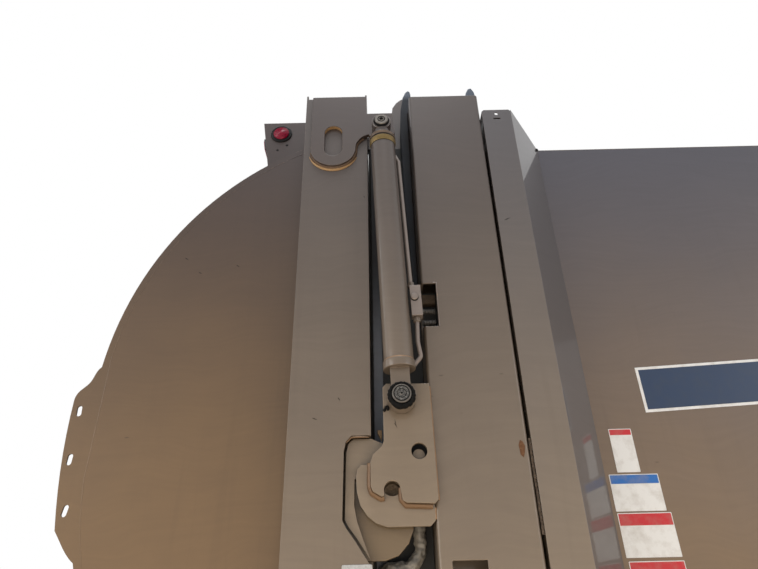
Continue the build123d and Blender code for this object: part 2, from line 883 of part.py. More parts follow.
# Lamp panel: a folded channel across the dome, between the side plates' flanges
panel_corners = [(40, 105), (24, 65), (58, -285), (100, -320)]
panel_inboard = 250
panel_top = panel_corners[0][1]
panel_foot = panel_corners[-1][1]
with BuildPart() as lamp_panel:
    with BuildSketch(side_view(dome_side_in)):
        with BuildLine():
            panel_ends = [(panel_inboard, panel_foot), (panel_inboard, panel_top)]
            Polyline(*corner_points(panel_corners + panel_ends, rear_x, dome_middle), close=True)
        make_face()
        offset(amount=-fold_skin, mode=Mode.SUBTRACT)
        with BuildLine():
            dome_lines(dome_lip)
        make_face(mode=Mode.SUBTRACT)
    extrude(amount=-2 * dome_side_in)
write_node(lamp_panel.part, "lamp_panel")

panel_lamp_r = 50
panel_lamp_proud = 12
panel_lamp_outs = (900, 760, 620)
upper_x, upper_z = panel_corners[1]
lower_x, lower_z = panel_corners[2]
panel_slope = math.atan2(lower_x - upper_x, upper_z - lower_z)
panel_face = Plane(
    origin=(rear_x + (upper_x + lower_x) / 2, 0, dome_middle + (upper_z + lower_z) / 2),
    x_dir=(0, -1, 0),
    z_dir=(-math.cos(panel_slope), 0, -math.sin(panel_slope)),
)
with BuildPart() as panel_lamps:
    with BuildSketch(panel_face):
        for lamp_out in panel_lamp_outs:
            with Locations((lamp_out, 0), (-lamp_out, 0)):
                Circle(panel_lamp_r)
    extrude(amount=panel_lamp_proud)
write_node(panel_lamps.part, "panel_lamps")

# Striker plates in the pockets of the tailgate's posts, with the lock pins
striker_out = post_out - pocket_depth
striker_thick = 20
striker_seat = [(-60, -332), (-60, -172)]
striker_nose = [
    (-20, -172),
    (19, -202),
    (19, -307),
    (6, -337),
    (-18, -362),
    (-50, -373),
    (-108, -373),
]
lock_pin_r = 20
lock_pin_length = 3
with BuildPart() as striker_plate:
    with BuildSketch(side_view(striker_out)):
        with BuildLine():
            Polyline(
                *corner_points(striker_seat, gate_front_x, lower_pin_height),
                *corner_points(striker_nose, lower_pin_x, lower_pin_height),
                close=True,
            )
        make_face()
    extrude(amount=striker_thick)
write_pair(striker_plate.part, "striker_plate")

with BuildPart() as lock_pins:
    with BuildSketch(side_view(striker_out + striker_thick)):
        with Locations(*lock_places):
            Circle(lock_pin_r)
    extrude(amount=lock_pin_length)
    mirror(about=Plane.XZ)
write_node(lock_pins.part, "lock_pins")

# Lift cylinders: drawn in a side view that leans with the line between the pins
stretch_x = upper_pin_x - lower_pin_x
stretch_z = upper_pin_height - lower_pin_height
closed_length = math.hypot(stretch_x, stretch_z)
lean_x = stretch_x / closed_length
lean_z = stretch_z / closed_length
cylinder_plane = Plane(
    origin=(lower_pin_x, -cylinder_out, lower_pin_height),
    x_dir=(lean_z, 0, -lean_x),
    z_dir=(0, -1, 0),
)
cylinder_axis = Axis((lower_pin_x, -cylinder_out, lower_pin_height), (lean_x, 0, lean_z))
tube_from = collar_from + collar_length
ring_length = gland_length * 0.4
gland_from = gland_to - gland_length
rod_guide_from = gland_to - 2 * gland_length
with BuildPart() as lift_barrel:
    with BuildSketch(cylinder_plane):
        Circle(lower_eye_r)
        with Locations((0, tube_from / 2)):
            Rectangle(neck_width, tube_from)
    extrude(amount=eye_thick / 2, both=True)
    with BuildSketch(cylinder_plane):
        with BuildLine():
            Polyline(
                (0, collar_from),
                (collar_r, collar_from),
                (collar_r, tube_from),
                (barrel_r, tube_from),
                (barrel_r, gland_from),
                (collar_r, gland_from),
                (collar_r, gland_from + ring_length),
                (barrel_r, gland_from + ring_length),
                (barrel_r, gland_to - ring_length),
                (collar_r, gland_to - ring_length),
                (collar_r, gland_to),
                (rod_r + running, gland_to),
                (rod_r + running, rod_guide_from),
                (barrel_bore_r, rod_guide_from),
                (barrel_bore_r, tube_from),
                (0, tube_from),
                close=True,
            )
        make_face()
    revolve(axis=cylinder_axis)
    with BuildSketch(cylinder_plane):
        Circle(pin_r + running)
    extrude(amount=eye_thick, both=True, mode=Mode.SUBTRACT)
write_pair(lift_barrel.part, "lift_barrel")

with BuildPart() as lift_rod:
    with BuildSketch(cylinder_plane):
        with Locations((0, closed_length)):
            Circle(upper_eye_r)
    extrude(amount=eye_thick / 2, both=True)
    rod_top = closed_length - upper_eye_r / 2
    with BuildSketch(cylinder_plane):
        with Locations((rod_r / 2, rod_top - rod_length / 2)):
            Rectangle(rod_r, rod_length)
    revolve(axis=cylinder_axis)
    with BuildSketch(cylinder_plane.offset(eye_thick / 2)):
        with Locations((0, closed_length)):
            Circle(pin_head_r)
    extrude(amount=pin_head_thick)
write_pair(lift_rod.part, "lift_rod")

# Oil pipe beside each barrel, from port to port through its block
pipe_r = 6
pipe_side = 47
pipe_bend_r = 12
port_side = 37
block_from = 225
block_length = 95
block_width = 31
block_thick = 30
block_side = 60
with BuildPart() as pipe_block:
    with BuildSketch(cylinder_plane):
        with Locations((block_side, block_from + block_length / 2)):
            Rectangle(block_width, block_length)
    extrude(amount=block_thick / 2, both=True)
write_pair(pipe_block.part, "pipe_block")

# Each run's points: to the side of the cylinder's middle line, and along it
upper_port = gland_to - 81
block_seat = 2
upper_start = block_from + block_length - block_seat
upper_run = [(pipe_side + pipe_r / 2, upper_start), (pipe_side, upper_port - 25)]
lower_run = [(block_side - 1, block_from + block_seat), (pipe_side + 8, 150), (pipe_side + 13, 108)]
pipe_runs = [upper_run + [(port_side, upper_port)], lower_run + [(port_side, 82)]]
with BuildPart() as pipe_sweeps:
    for run in pipe_runs:
        with BuildLine(cylinder_plane) as pipe_line:
            FilletPolyline(*run, radius=pipe_bend_r)
        with BuildSketch(Plane(origin=pipe_line.line @ 0, z_dir=pipe_line.line % 0)):
            Circle(pipe_r)
        sweep(path=pipe_line.line)
    add(lift_barrel.part, mode=Mode.SUBTRACT)
    add(pipe_block.part, mode=Mode.SUBTRACT)
with BuildPart() as oil_pipe:
    add(pipe_sweeps.solids().sort_by(SortBy.VOLUME)[-len(pipe_runs):])
write_pair(oil_pipe.part, "oil_pipe")
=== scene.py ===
"""Refuse truck tailgate on the rear section of its body, dressed and lit for rendering.

Metres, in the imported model's own frame: +X points to the truck's front, +Y to its left, +Z up.
Side pieces are drawn on the truck's right, where Y is negative, and mirrored to the left.
"""
from __future__ import annotations

import logging
import math
import random
from collections.abc import Callable, Iterable, Sequence
from dataclasses import dataclass
from enum import Enum

import bmesh
import bpy
from mathutils import Matrix, Vector, noise


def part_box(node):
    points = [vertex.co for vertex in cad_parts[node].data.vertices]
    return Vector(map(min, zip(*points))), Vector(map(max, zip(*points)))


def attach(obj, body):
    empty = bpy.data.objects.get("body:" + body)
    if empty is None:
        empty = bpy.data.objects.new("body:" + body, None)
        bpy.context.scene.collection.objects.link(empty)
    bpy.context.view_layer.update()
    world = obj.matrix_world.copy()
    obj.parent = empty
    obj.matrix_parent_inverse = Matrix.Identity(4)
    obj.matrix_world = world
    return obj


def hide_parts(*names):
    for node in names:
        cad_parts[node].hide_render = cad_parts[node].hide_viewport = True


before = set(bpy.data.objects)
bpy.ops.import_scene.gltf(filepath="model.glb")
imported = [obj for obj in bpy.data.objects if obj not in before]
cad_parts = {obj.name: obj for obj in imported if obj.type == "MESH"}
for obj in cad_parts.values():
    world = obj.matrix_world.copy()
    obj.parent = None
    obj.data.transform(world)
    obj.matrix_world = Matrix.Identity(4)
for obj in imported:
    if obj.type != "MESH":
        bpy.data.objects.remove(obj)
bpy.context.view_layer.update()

log = logging.getLogger("tailgate")

Color = tuple[float, float, float]
Pair = tuple[float, float]
Triple = tuple[float, float, float]

MM = 0.001
TIP = 1e-5
FOLD_EDGE = 1.5 * MM
ALONG = Vector((1, 0, 0))
UP = Vector((0, 0, 1))
OUT = Vector((0, -1, 0))


class Body(Enum):
    """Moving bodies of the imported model, with the right body's name where there are two."""

    SECTION = "body_section"
    GATE = "tailgate"
    BARREL = "barrel_right"
    ROD = "rod_right"


class Slot(Enum):
    """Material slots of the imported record."""

    PAINT = "bronze_paint"
    PIN = "pin_steel"
    CHROME = "rod_chrome"
    SEAL = "seal_grey"
    RUBBER = "black_rubber"
    LENS = "red_lens"
    HOUSING = "lamp_housing"


class Sides(Enum):
    """Which sides of the truck a shape is placed on."""

    BOTH = (1, -1)
    MIDDLE = (0,)


# Shader building


@dataclass
class NodeSheet:
    """Adds nodes to one shader tree and wires them as they are made."""

    tree: bpy.types.NodeTree

    def feed(self, socket: bpy.types.NodeSocket, value: object) -> None:
        """Link a socket to another one, or set its own value.

        Args:
            socket: The input to feed.
            value: An output socket, a number, or a colour or vector as a tuple.
        """
        if isinstance(value, bpy.types.NodeSocket):
            self.tree.links.new(value, socket)
        elif isinstance(value, tuple) and socket.type == "RGBA" and len(value) == 3:
            socket.default_value = (*value, 1.0)
        else:
            socket.default_value = value

    def add(
        self,
        kind: str,
        inputs: dict[int | str, object] | None = None,
        settings: dict[str, object] | None = None,
    ) -> bpy.types.Node:
        """Add one node.

        Args:
            kind: The node's type name.
            inputs: Values or sockets for its inputs, by name or number.
            settings: Properties to set on the node itself.

        Returns:
            The new node.
        """
        node = self.tree.nodes.new(kind)
        for name, value in (settings or {}).items():
            setattr(node, name, value)
        for key, value in (inputs or {}).items():
            self.feed(node.inputs[key], value)
        return node

    def math(self, operation: str, first: object, second: object = 0.0) -> bpy.types.NodeSocket:
        """Work out one number from two and return its socket."""
        return self.add("ShaderNodeMath", {0: first, 1: second}, {"operation": operation}).outputs[0]

    def remap(self, value: object, start: Pair, end: Pair = (0.0, 1.0)) -> bpy.types.NodeSocket:
        """Map a number from its range at the start to its range at the end, clamped."""
        node = self.add("ShaderNodeMapRange", {0: value, 1: start[0], 2: start[1], 3: end[0], 4: end[1]})
        return node.outputs[0]

    def mix(self, share: object, first: object, second: object, blend: str = "MIX") -> bpy.types.NodeSocket:
        """Mix two colours.

        Args:
            share: How much of the second colour is taken, 0 to 1.
            first: The first colour.
            second: The second colour.
            blend: The way of blending them.

        Returns:
            The mixed colour's socket.
        """
        node = self.add("ShaderNodeMix", settings={"data_type": "RGBA", "blend_type": blend})
        for number, value in ((0, share), (6, first), (7, second)):
            self.feed(node.inputs[number], value)
        return node.outputs[2]

    def noise(
        self, vector: object, scale: object, detail: float = 3.0, rough: float = 0.55, bend: float = 0.0
    ) -> bpy.types.NodeSocket:
        """Add a noise texture that is read at a place, and return its value's socket."""
        inputs = {"Vector": vector, "Scale": scale, "Detail": detail, "Roughness": rough, "Distortion": bend}
        return self.add("ShaderNodeTexNoise", inputs).outputs[0]

    def surface(
        self,
        shader: bpy.types.Node,
        color: object,
        roughness: object,
        height: object,
        bump: Pair,
        constants: dict[str, float],
    ) -> None:
        """Feed a surface shader its colour, roughness, bump and constants.

        Args:
            shader: The shader's node.
            color: Its base colour.
            roughness: Its roughness.
            height: What its bump is read from.
            bump: The bump's strength and distance.
            constants: Numbers that are the same all over the surface, by socket name.
        """
        self.feed(shader.inputs["Base Color"], color)
        self.feed(shader.inputs["Roughness"], roughness)
        for name, value in constants.items():
            self.feed(shader.inputs[name], value)
        relief = self.add("ShaderNodeBump", {"Strength": bump[0], "Distance": bump[1], "Height": height})
        self.feed(shader.inputs["Normal"], relief.outputs[0])

    def stretched(self, vector: object, scale: Triple) -> bpy.types.NodeSocket:
        """Scale a place unevenly, to stretch what is read at it, and return the new place's socket."""
        node = self.add("ShaderNodeVectorMath", {0: vector, 1: scale}, {"operation": "MULTIPLY"})
        return node.outputs[0]


@dataclass
class GroupSheet(NodeSheet):
    """The node sheet of an effect group, with the group's own input and output nodes."""

    given: bpy.types.Node
    made: bpy.types.Node

    def take(self, name: str) -> bpy.types.NodeSocket:
        """Return one of the group's inputs."""
        return self.given.outputs[name]

    def put(self, name: str, value: object) -> None:
        """Put out one of the group's results."""
        self.feed(self.made.inputs[name], value)

    def put_mask(self, shape: object, breaks: object) -> None:
        """Put out a mask: where it lies, broken up by noise, times the group's Amount."""
        broken = self.math("MULTIPLY", shape, breaks)
        self.put("Mask", self.math("MULTIPLY", broken, self.take("Amount")))


@dataclass
class EffectGroup:
    """A shader node group that is built once. It reads a place and numbers, and puts out numbers."""

    name: str
    draw: Callable[[GroupSheet], None]
    inputs: dict[str, float]
    outputs: tuple[str, ...] = ("Mask",)

    def tree(self) -> bpy.types.NodeTree:
        """Find the group, or build it the first time.

        Returns:
            Its node tree.
        """
        found = bpy.data.node_groups.get(self.name)
        if found:
            return found
        tree = bpy.data.node_groups.new(self.name, "ShaderNodeTree")
        tree.interface.new_socket(name="Place", in_out="INPUT", socket_type="NodeSocketVector")
        for name, value in self.inputs.items():
            socket = tree.interface.new_socket(name=name, in_out="INPUT", socket_type="NodeSocketFloat")
            socket.default_value = value
        for name in self.outputs:
            tree.interface.new_socket(name=name, in_out="OUTPUT", socket_type="NodeSocketFloat")
        sheet = NodeSheet(tree)
        self.draw(GroupSheet(tree, sheet.add("NodeGroupInput"), sheet.add("NodeGroupOutput")))
        return tree

    def place(self, sheet: NodeSheet, **values: object) -> bpy.types.Node:
        """Put the group into a material, with values for its inputs by name, and return its node."""
        return sheet.add("ShaderNodeGroup", values, {"node_tree": self.tree()})


def draw_ripple(sheet: GroupSheet) -> None:
    """Draw fine level streaks that waver a little, like paint that was sprayed on in long passes.

    Args:
        sheet: The group's node sheet.
    """
    place = sheet.take("Place")
    waver = sheet.remap(sheet.noise(place, 2.4, 2.0), (0.2, 0.8), (-0.07, 0.07))
    lift = sheet.add("ShaderNodeCombineXYZ", {2: waver}).outputs[0]
    bent = sheet.add("ShaderNodeVectorMath", {0: place, 1: lift}, {"operation": "ADD"}).outputs[0]
    fine = sheet.noise(sheet.stretched(bent, (4.5, 4.5, 78.0)), sheet.take("Scale"), 3.0, 0.55)
    broad = sheet.noise(sheet.stretched(bent, (1.3, 1.3, 4.0)), 1.0, 3.0)
    sheet.put("Height", fine)
    shade = sheet.math("ADD", sheet.math("MULTIPLY", fine, 0.5), sheet.math("MULTIPLY", broad, 0.5))
    sheet.put("Shade", sheet.remap(shade, (0.3, 0.7)))


def draw_wear(sheet: GroupSheet) -> None:
    """Draw a mask of rubbed edges, broken up by noise.

    Args:
        sheet: The group's node sheet.
    """
    eased = sheet.add("ShaderNodeBevel", {"Radius": sheet.take("Width")}, {"samples": 4})
    true = sheet.add("ShaderNodeNewGeometry")
    normals = {0: eased.outputs[0], 1: true.outputs["Normal"]}
    match = sheet.add("ShaderNodeVectorMath", normals, {"operation": "DOT_PRODUCT"})
    edge = sheet.remap(match.outputs["Value"], (0.995, 0.86))
    breaks = sheet.remap(sheet.noise(sheet.take("Place"), 38.0, 6.0, 0.7), (0.5, 0.66))
    sheet.put_mask(edge, breaks)


def draw_corner_darkening(sheet: GroupSheet) -> None:
    """Draw a mask that darkens corners, under lips and round bolts by ambient occlusion: partly grime,
    partly painted shade.

    Args:
        sheet: The group's node sheet.
    """
    corner = sheet.add("ShaderNodeAmbientOcclusion", {"Distance": sheet.take("Reach")}, {"samples": 4})
    shut = sheet.remap(corner.outputs["AO"], (0.82, 0.32))
    patchy = sheet.remap(sheet.noise(sheet.take("Place"), 17.0, 6.0, 0.65), (0.32, 0.66))
    sheet.put_mask(shut, patchy)


def draw_marks(sheet: GroupSheet) -> None:
    """Draw a mask of sparse short scuffs and spots.

    Args:
        sheet: The group's node sheet.
    """
    bent = sheet.stretched(sheet.take("Place"), (9.0, 9.0, 26.0))
    cells = sheet.add("ShaderNodeTexVoronoi", {"Vector": bent, "Scale": 1.0, "Randomness": 1.0})
    spot = sheet.remap(cells.outputs["Distance"], (0.075, 0.03))
    chance = sheet.remap(sheet.noise(sheet.take("Place"), 3.1, 2.0), (0.58, 0.62))
    sheet.put_mask(spot, chance)


def draw_runs(sheet: GroupSheet) -> None:
    """Draw a mask of thin upright runs that rain leaves in the dust.

    Args:
        sheet: The group's node sheet.
    """
    place = sheet.stretched(sheet.take("Place"), (30.0, 30.0, 1.1))
    runs = sheet.remap(sheet.noise(place, 1.0, 5.0, 0.6, 0.3), (0.52, 0.75))
    patchy = sheet.remap(sheet.noise(sheet.take("Place"), 1.7, 3.0), (0.42, 0.62))
    sheet.put_mask(runs, patchy)


def draw_height_fade(sheet: GroupSheet) -> None:
    """Draw a mask that fades from a low height to a high one, mottled a little by noise. The paints take
    their height gradient from it, which is partly road dust and partly painted light and shade, and their
    mud low down.

    Args:
        sheet: The group's node sheet.
    """
    parts = sheet.add("ShaderNodeSeparateXYZ", {0: sheet.take("Place")})
    heights = {0: parts.outputs["Z"], 1: sheet.take("Low"), 2: sheet.take("High"), 3: 1.0, 4: 0.0}
    span = sheet.add("ShaderNodeMapRange", heights, {"interpolation_type": "SMOOTHSTEP"})
    cloud = sheet.remap(sheet.noise(sheet.take("Place"), 2.6, 6.0, 0.6), (0.25, 0.75), (0.72, 1.0))
    sheet.put("Mask", sheet.math("MULTIPLY", span.outputs[0], cloud))


RIPPLE = EffectGroup("spray_ripple", draw_ripple, {"Scale": 1.0}, ("Height", "Shade"))
WEAR = EffectGroup("edge_wear", draw_wear, {"Width": 0.002, "Amount": 1.0})
CORNER_DARKENING = EffectGroup("corner_shade_and_grime", draw_corner_darkening, {"Reach": 0.03, "Amount": 1.0})
MARKS = EffectGroup("scuff_marks", draw_marks, {"Amount": 1.0})
RUNS = EffectGroup("rain_runs", draw_runs, {"Amount": 1.0})
HEIGHT_FADE = EffectGroup("height_fade", draw_height_fade, {"Low": 0.3, "High": 2.2})


def start_material(name: str) -> tuple[bpy.types.Material, NodeSheet, bpy.types.Node, bpy.types.NodeSocket]:
    """Start a material with one surface shader.

    Args:
        name: The material's name.

    Returns:
        The material, its node sheet, its shader node, and the place on the piece as a socket.
    """
    material = bpy.data.materials.new(name)
    material.use_nodes = True
    sheet = NodeSheet(material.node_tree)
    shader = material.node_tree.nodes["Principled BSDF"]
    place = sheet.add("ShaderNodeTexCoord").outputs["Object"]
    return material, sheet, shader, place


@dataclass(frozen=True)
class Finish:
    """A surface finish whose material is made once, the first time that a piece wears it."""

    name: str

    def material(self) -> bpy.types.Material:
        """Return the finish's material."""
        return bpy.data.materials.get(self.name) or self.build()

    def build(self) -> bpy.types.Material:
        """Build the finish's material."""
        raise NotImplementedError


@dataclass(frozen=True)
class MetallicPaint(Finish):
    """Bronze metallic body paint under a clear coat, streaked and worn on its edges. Its colour runs from a
    dark, cool high colour down to a pale, warm low colour and an orange-brown mud colour near the ground:
    partly road dust and mud, partly painted light and shade, for the sky reflected above and the warm light
    from the ground below.
    """

    # high, low and span set the height gradient; its dark cool top and pale warm foot are partly dust and
    # partly painted light and shade.
    high: Color = (0.088, 0.070, 0.060)
    low: Color = (0.235, 0.180, 0.122)
    mud: Color = (0.150, 0.095, 0.052)
    worn: Color = (0.30, 0.21, 0.14)
    # dirt is the colour of runs and scuffs, and of corners darkened by ambient occlusion, which is partly
    # painted shade.
    dirt: Color = (0.030, 0.020, 0.013)
    span: Pair = (0.35, 2.20)
    mud_top: float = 0.60
    metallic: float = 0.25
    roughness: float = 0.45
    specular: float = 0.35
    coat: float = 0.45
    coat_roughness: float = 0.09
    streaks: float = 0.07
    # The two fields below darken corners by ambient occlusion: partly grime, partly painted shade.
    shade_and_grime: float = 0.8
    corner_reach: float = 0.035
    wear: float = 0.5
    wear_width: float = 0.0035
    runs: float = 0.12
    marks: float = 0.45
    # The field below makes faces turned to the front keep less of the pale low colour: painted shade, for
    # the dark surroundings that the glossy coat reflects there.
    front_shade: float = 0.0
    dusty_rough: float = 0.08
    grimy_rough: float = 0.35
    bump: Pair = (0.07, 0.0012)

    def build(self) -> bpy.types.Material:
        """Build the paint's material.

        Returns:
            The new material.
        """
        material, sheet, shader, place = start_material(self.name)
        # Height gradient from the high colour to the low one: partly road dust, partly painted light and
        # shade.
        dust = HEIGHT_FADE.place(sheet, Place=place, Low=self.span[0], High=self.span[1]).outputs["Mask"]
        # Less of the pale low colour on faces turned to the front: painted shade.
        if self.front_shade:
            normal = sheet.add("ShaderNodeNewGeometry").outputs["Normal"]
            forward = sheet.add("ShaderNodeSeparateXYZ", {0: normal}).outputs["X"]
            dust = sheet.math("MULTIPLY", dust, sheet.remap(forward, (0.1, 0.6), (1.0, 1 - self.front_shade)))
        mud = HEIGHT_FADE.place(sheet, Place=place, Low=0.0, High=self.mud_top).outputs["Mask"]
        ripple = RIPPLE.place(sheet, Place=place, Scale=1.0)
        color = sheet.mix(mud, sheet.mix(dust, self.high, self.low), self.mud)
        shade = sheet.remap(ripple.outputs["Shade"], (0.0, 1.0), (1 - self.streaks, 1 + self.streaks))
        lit = sheet.add("ShaderNodeCombineXYZ", {0: shade, 1: shade, 2: shade}).outputs[0]
        color = sheet.mix(1.0, color, lit, "MULTIPLY")
        # Corners darkened by ambient occlusion towards the dirt colour: partly grime, partly painted shade.
        shade_and_grime = CORNER_DARKENING.place(sheet, Place=place, Reach=self.corner_reach, Amount=self.shade_and_grime)
        layers = (
            (RUNS.place(sheet, Place=place, Amount=self.runs), self.dirt),
            (WEAR.place(sheet, Place=place, Width=self.wear_width, Amount=self.wear), self.worn),
            (MARKS.place(sheet, Place=place, Amount=self.marks), self.dirt),
            (shade_and_grime, self.dirt),
        )
        for layer, tint in layers:
            color = sheet.mix(layer.outputs["Mask"], color, tint)
        rough = sheet.math("ADD", sheet.math("MULTIPLY", dust, self.dusty_rough), self.roughness)
        rough = sheet.math("ADD", rough, sheet.math("MULTIPLY", shade_and_grime.outputs["Mask"], self.grimy_rough))
        constants = {
            "Metallic": self.metallic,
            "Specular IOR Level": self.specular,
            "Coat Weight": self.coat,
            "Coat Roughness": self.coat_roughness,
        }
        sheet.surface(shader, color, rough, ripple.outputs["Height"], self.bump, constants)
        return material


@dataclass(frozen=True)
class BareMetal(Finish):
    """Bare or plated metal with fine scratches and some oily dirt."""

    color: Color = (0.40, 0.39, 0.38)
    roughness: float = 0.34
    metallic: float = 0.95
    dirt: Color = (0.02, 0.016, 0.012)
    shade_and_grime: float = 0.8

    def build(self) -> bpy.types.Material:
        """Build the metal's material.

        Returns:
            The new material.
        """
        material, sheet, shader, place = start_material(self.name)
        fine = sheet.noise(place, 210.0, 4.0, 0.6)
        # Corners darkened by ambient occlusion towards the dirt colour: partly grime, partly painted shade.
        shade_and_grime = CORNER_DARKENING.place(sheet, Place=place, Reach=0.012, Amount=self.shade_and_grime).outputs["Mask"]
        color = sheet.mix(sheet.remap(fine, (0.35, 0.7), (0.0, 0.25)), self.color, self.dirt)
        sheet.feed(shader.inputs["Base Color"], sheet.mix(shade_and_grime, color, self.dirt))
        spread = (self.roughness * 0.8, self.roughness * 1.3)
        sheet.feed(shader.inputs["Roughness"], sheet.remap(fine, (0.3, 0.7), spread))
        sheet.feed(shader.inputs["Metallic"], self.metallic)
        return material


@dataclass(frozen=True)
class Moulding(Finish):
    """Rubber or plastic with dust on it and a faint grain."""

    color: Color = (0.022, 0.022, 0.023)
    dusty: Color = (0.13, 0.11, 0.09)
    dust: float = 0.35
    roughness: float = 0.62
    grain: float = 0.15
    specular: float = 0.5
    grain_depth: float = 0.0006

    def build(self) -> bpy.types.Material:
        """Build the moulding's material.

        Returns:
            The new material.
        """
        material, sheet, shader, place = start_material(self.name)
        film = sheet.remap(sheet.noise(place, 23.0, 6.0, 0.6), (0.4, 0.75), (0.0, self.dust))
        grain = sheet.noise(place, 380.0, 3.0)
        color = sheet.mix(film, self.color, self.dusty)
        constants = {"Specular IOR Level": self.specular}
        sheet.surface(shader, color, self.roughness, grain, (self.grain, self.grain_depth), constants)
        return material


@dataclass(frozen=True)
class LampLens(Finish):
    """Clear moulded lens, coloured right through, over a darker bowl."""

    color: Color = (0.36, 0.003, 0.038)
    deep: Color = (0.17, 0.0, 0.018)
    roughness: float = 0.34
    specular: float = 0.2
    coat: float = 0.12
    bump: Pair = (0.12, 0.001)

    def build(self) -> bpy.types.Material:
        """Build the lens's material.

        Returns:
            The new material.
        """
        material, sheet, shader, place = start_material(self.name)
        weave = sheet.add("ShaderNodeTexVoronoi", {"Vector": place, "Scale": 240.0})
        depth = sheet.remap(weave.outputs["Distance"], (0.1, 0.7))
        color = sheet.mix(depth, self.color, self.deep)
        constants = {"Specular IOR Level": self.specular, "Coat Weight": self.coat}
        sheet.surface(shader, color, self.roughness, depth, self.bump, constants)
        return material


@dataclass(frozen=True)
class StuckFilm(Finish):
    """Printed or coloured sticky film, slightly soiled."""

    color: Color = (0.74, 0.74, 0.73)
    soil: Color = (0.30, 0.25, 0.20)
    roughness: float = 0.36

    def build(self) -> bpy.types.Material:
        """Build the film's material.

        Returns:
            The new material.
        """
        material, sheet, shader, place = start_material(self.name)
        film = sheet.remap(sheet.noise(place, 31.0, 6.0, 0.65), (0.45, 0.8), (0.0, 0.5))
        sheet.feed(shader.inputs["Base Color"], sheet.mix(film, self.color, self.soil))
        sheet.feed(shader.inputs["Roughness"], self.roughness)
        return material


@dataclass(frozen=True)
class CakedDirt(Finish):
    """Packed road dirt or grease, lumpy and uneven."""

    color: Color = (0.050, 0.034, 0.022)
    pale: Color = (0.14, 0.10, 0.07)
    roughness: float = 0.9
    scale: float = 90.0
    specular: float = 0.5
    bump: Pair = (0.8, 0.003)

    def build(self) -> bpy.types.Material:
        """Build the dirt's material.

        Returns:
            The new material.
        """
        material, sheet, shader, place = start_material(self.name)
        lumps = sheet.noise(place, self.scale, 8.0, 0.7)
        color = sheet.mix(sheet.remap(lumps, (0.45, 0.75)), self.color, self.pale)
        constants = {"Specular IOR Level": self.specular}
        sheet.surface(shader, color, self.roughness, lumps, self.bump, constants)
        return material


# The bronze paints below are one body paint; their different colours and gradients are painted light and
# shade for where each piece stands.
PAINT = MetallicPaint("bronze_post_paint", (0.064, 0.050, 0.046), (0.220, 0.170, 0.120))
# Dome, lamp box and lamp panel: darker, most of all at the top: painted shade.
DOME_PAINT = MetallicPaint("bronze_dome_paint", (0.036, 0.022, 0.020), (0.215, 0.130, 0.056), mud_top=1.15)
# Walls and floor: a cooler, bluish top: painted sky reflection and shade.
WALL_PAINT = MetallicPaint("bronze_wall_paint", (0.064, 0.062, 0.079), (0.215, 0.142, 0.076), mud_top=0.9)
# Slanted covers: a cool top and darker faces turned to the front: painted reflection and shade.
COVER_PAINT = MetallicPaint(
    "bronze_cover_paint",
    (0.060, 0.052, 0.056),
    (0.215, 0.162, 0.108),
    coat=0.9,
    coat_roughness=0.04,
    front_shade=0.7,
)
# Latch, guide and ear plates and the latch hole's disc: a paler low colour: painted light.
PLATE_PAINT = MetallicPaint(
    "bronze_plate_paint", (0.048, 0.034, 0.031), (0.285, 0.220, 0.150), shade_and_grime=0.9, wear=0.8
)
# Striker deep in its pocket: a darker copy: painted shade.
STRIKER_PAINT = MetallicPaint("bronze_striker_paint", (0.060, 0.044, 0.038), (0.205, 0.145, 0.080), wear=0.8)
BLOCK_PAINT = MetallicPaint(
    "faded_block_paint", (0.190, 0.160, 0.145), (0.200, 0.160, 0.135), shade_and_grime=0.5, wear=0.9
)
# The fins are the body's bronze paint; the pale blue top is a painted sky reflection and the near-black
# below is painted shade.
FIN_PAINT = MetallicPaint(
    "fin_painted_reflection",
    (0.120, 0.140, 0.175),
    (0.012, 0.012, 0.013),
    mud=(0.110, 0.054, 0.038),
    span=(2.265, 2.300),
    mud_top=1.5,
    metallic=0.0,
    specular=0.08,
    coat=0.0,
)
# Welds and edge beads: paler and more orange low down: painted warm light from below on the beads, over the
# bronze paint.
WELD_PAINT = MetallicPaint(
    "bronze_weld_paint",
    (0.150, 0.098, 0.062),
    (0.32, 0.185, 0.088),
    worn=(0.42, 0.21, 0.08),
    shade_and_grime=0.45,
    wear=0.9,
)
# Fillet welds: darker brown: partly painted shade in the corners they fill.
FILLET_PAINT = MetallicPaint(
    "bronze_fillet_paint",
    (0.110, 0.068, 0.042),
    (0.185, 0.108, 0.056),
    worn=(0.32, 0.18, 0.085),
    shade_and_grime=0.9,
    specular=0.2,
    coat=0.15,
)
PIN_STEEL = BareMetal("worn_pin_steel", (0.165, 0.150, 0.135), 0.5)
CHROME = BareMetal("hard_chrome", (0.78, 0.79, 0.81), 0.07, 1.0, shade_and_grime=0.3)
YELLOW_ZINC = BareMetal("yellow_zinc_plate", (0.180, 0.122, 0.045), 0.42, 0.7, shade_and_grime=1.0)
# The upper gland ring's zinc plate coloured browner than the cone: painted shade, for its different
# reflection.
SHADED_ZINC = BareMetal("zinc_plate_shaded_brown", (0.150, 0.098, 0.062), 0.36, 0.7, shade_and_grime=0.9)
GALVANISED = BareMetal("grey_zinc_plate", (0.46, 0.46, 0.45), 0.46)
HOSE_END = BareMetal("gritty_hose_end", (0.200, 0.190, 0.178), 0.55, 0.6, shade_and_grime=1.0)
# Near-black high up: painted shade in the narrow gap; paler grey-blue below.
JAMB_GREY = MetallicPaint(
    "jamb_grey_paint",
    (0.035, 0.036, 0.040),
    (0.250, 0.265, 0.300),
    mud=(0.200, 0.190, 0.180),
    worn=(0.40, 0.41, 0.43),
    span=(1.18, 1.60),
    metallic=0.1,
    specular=0.2,
    coat=0.05,
)
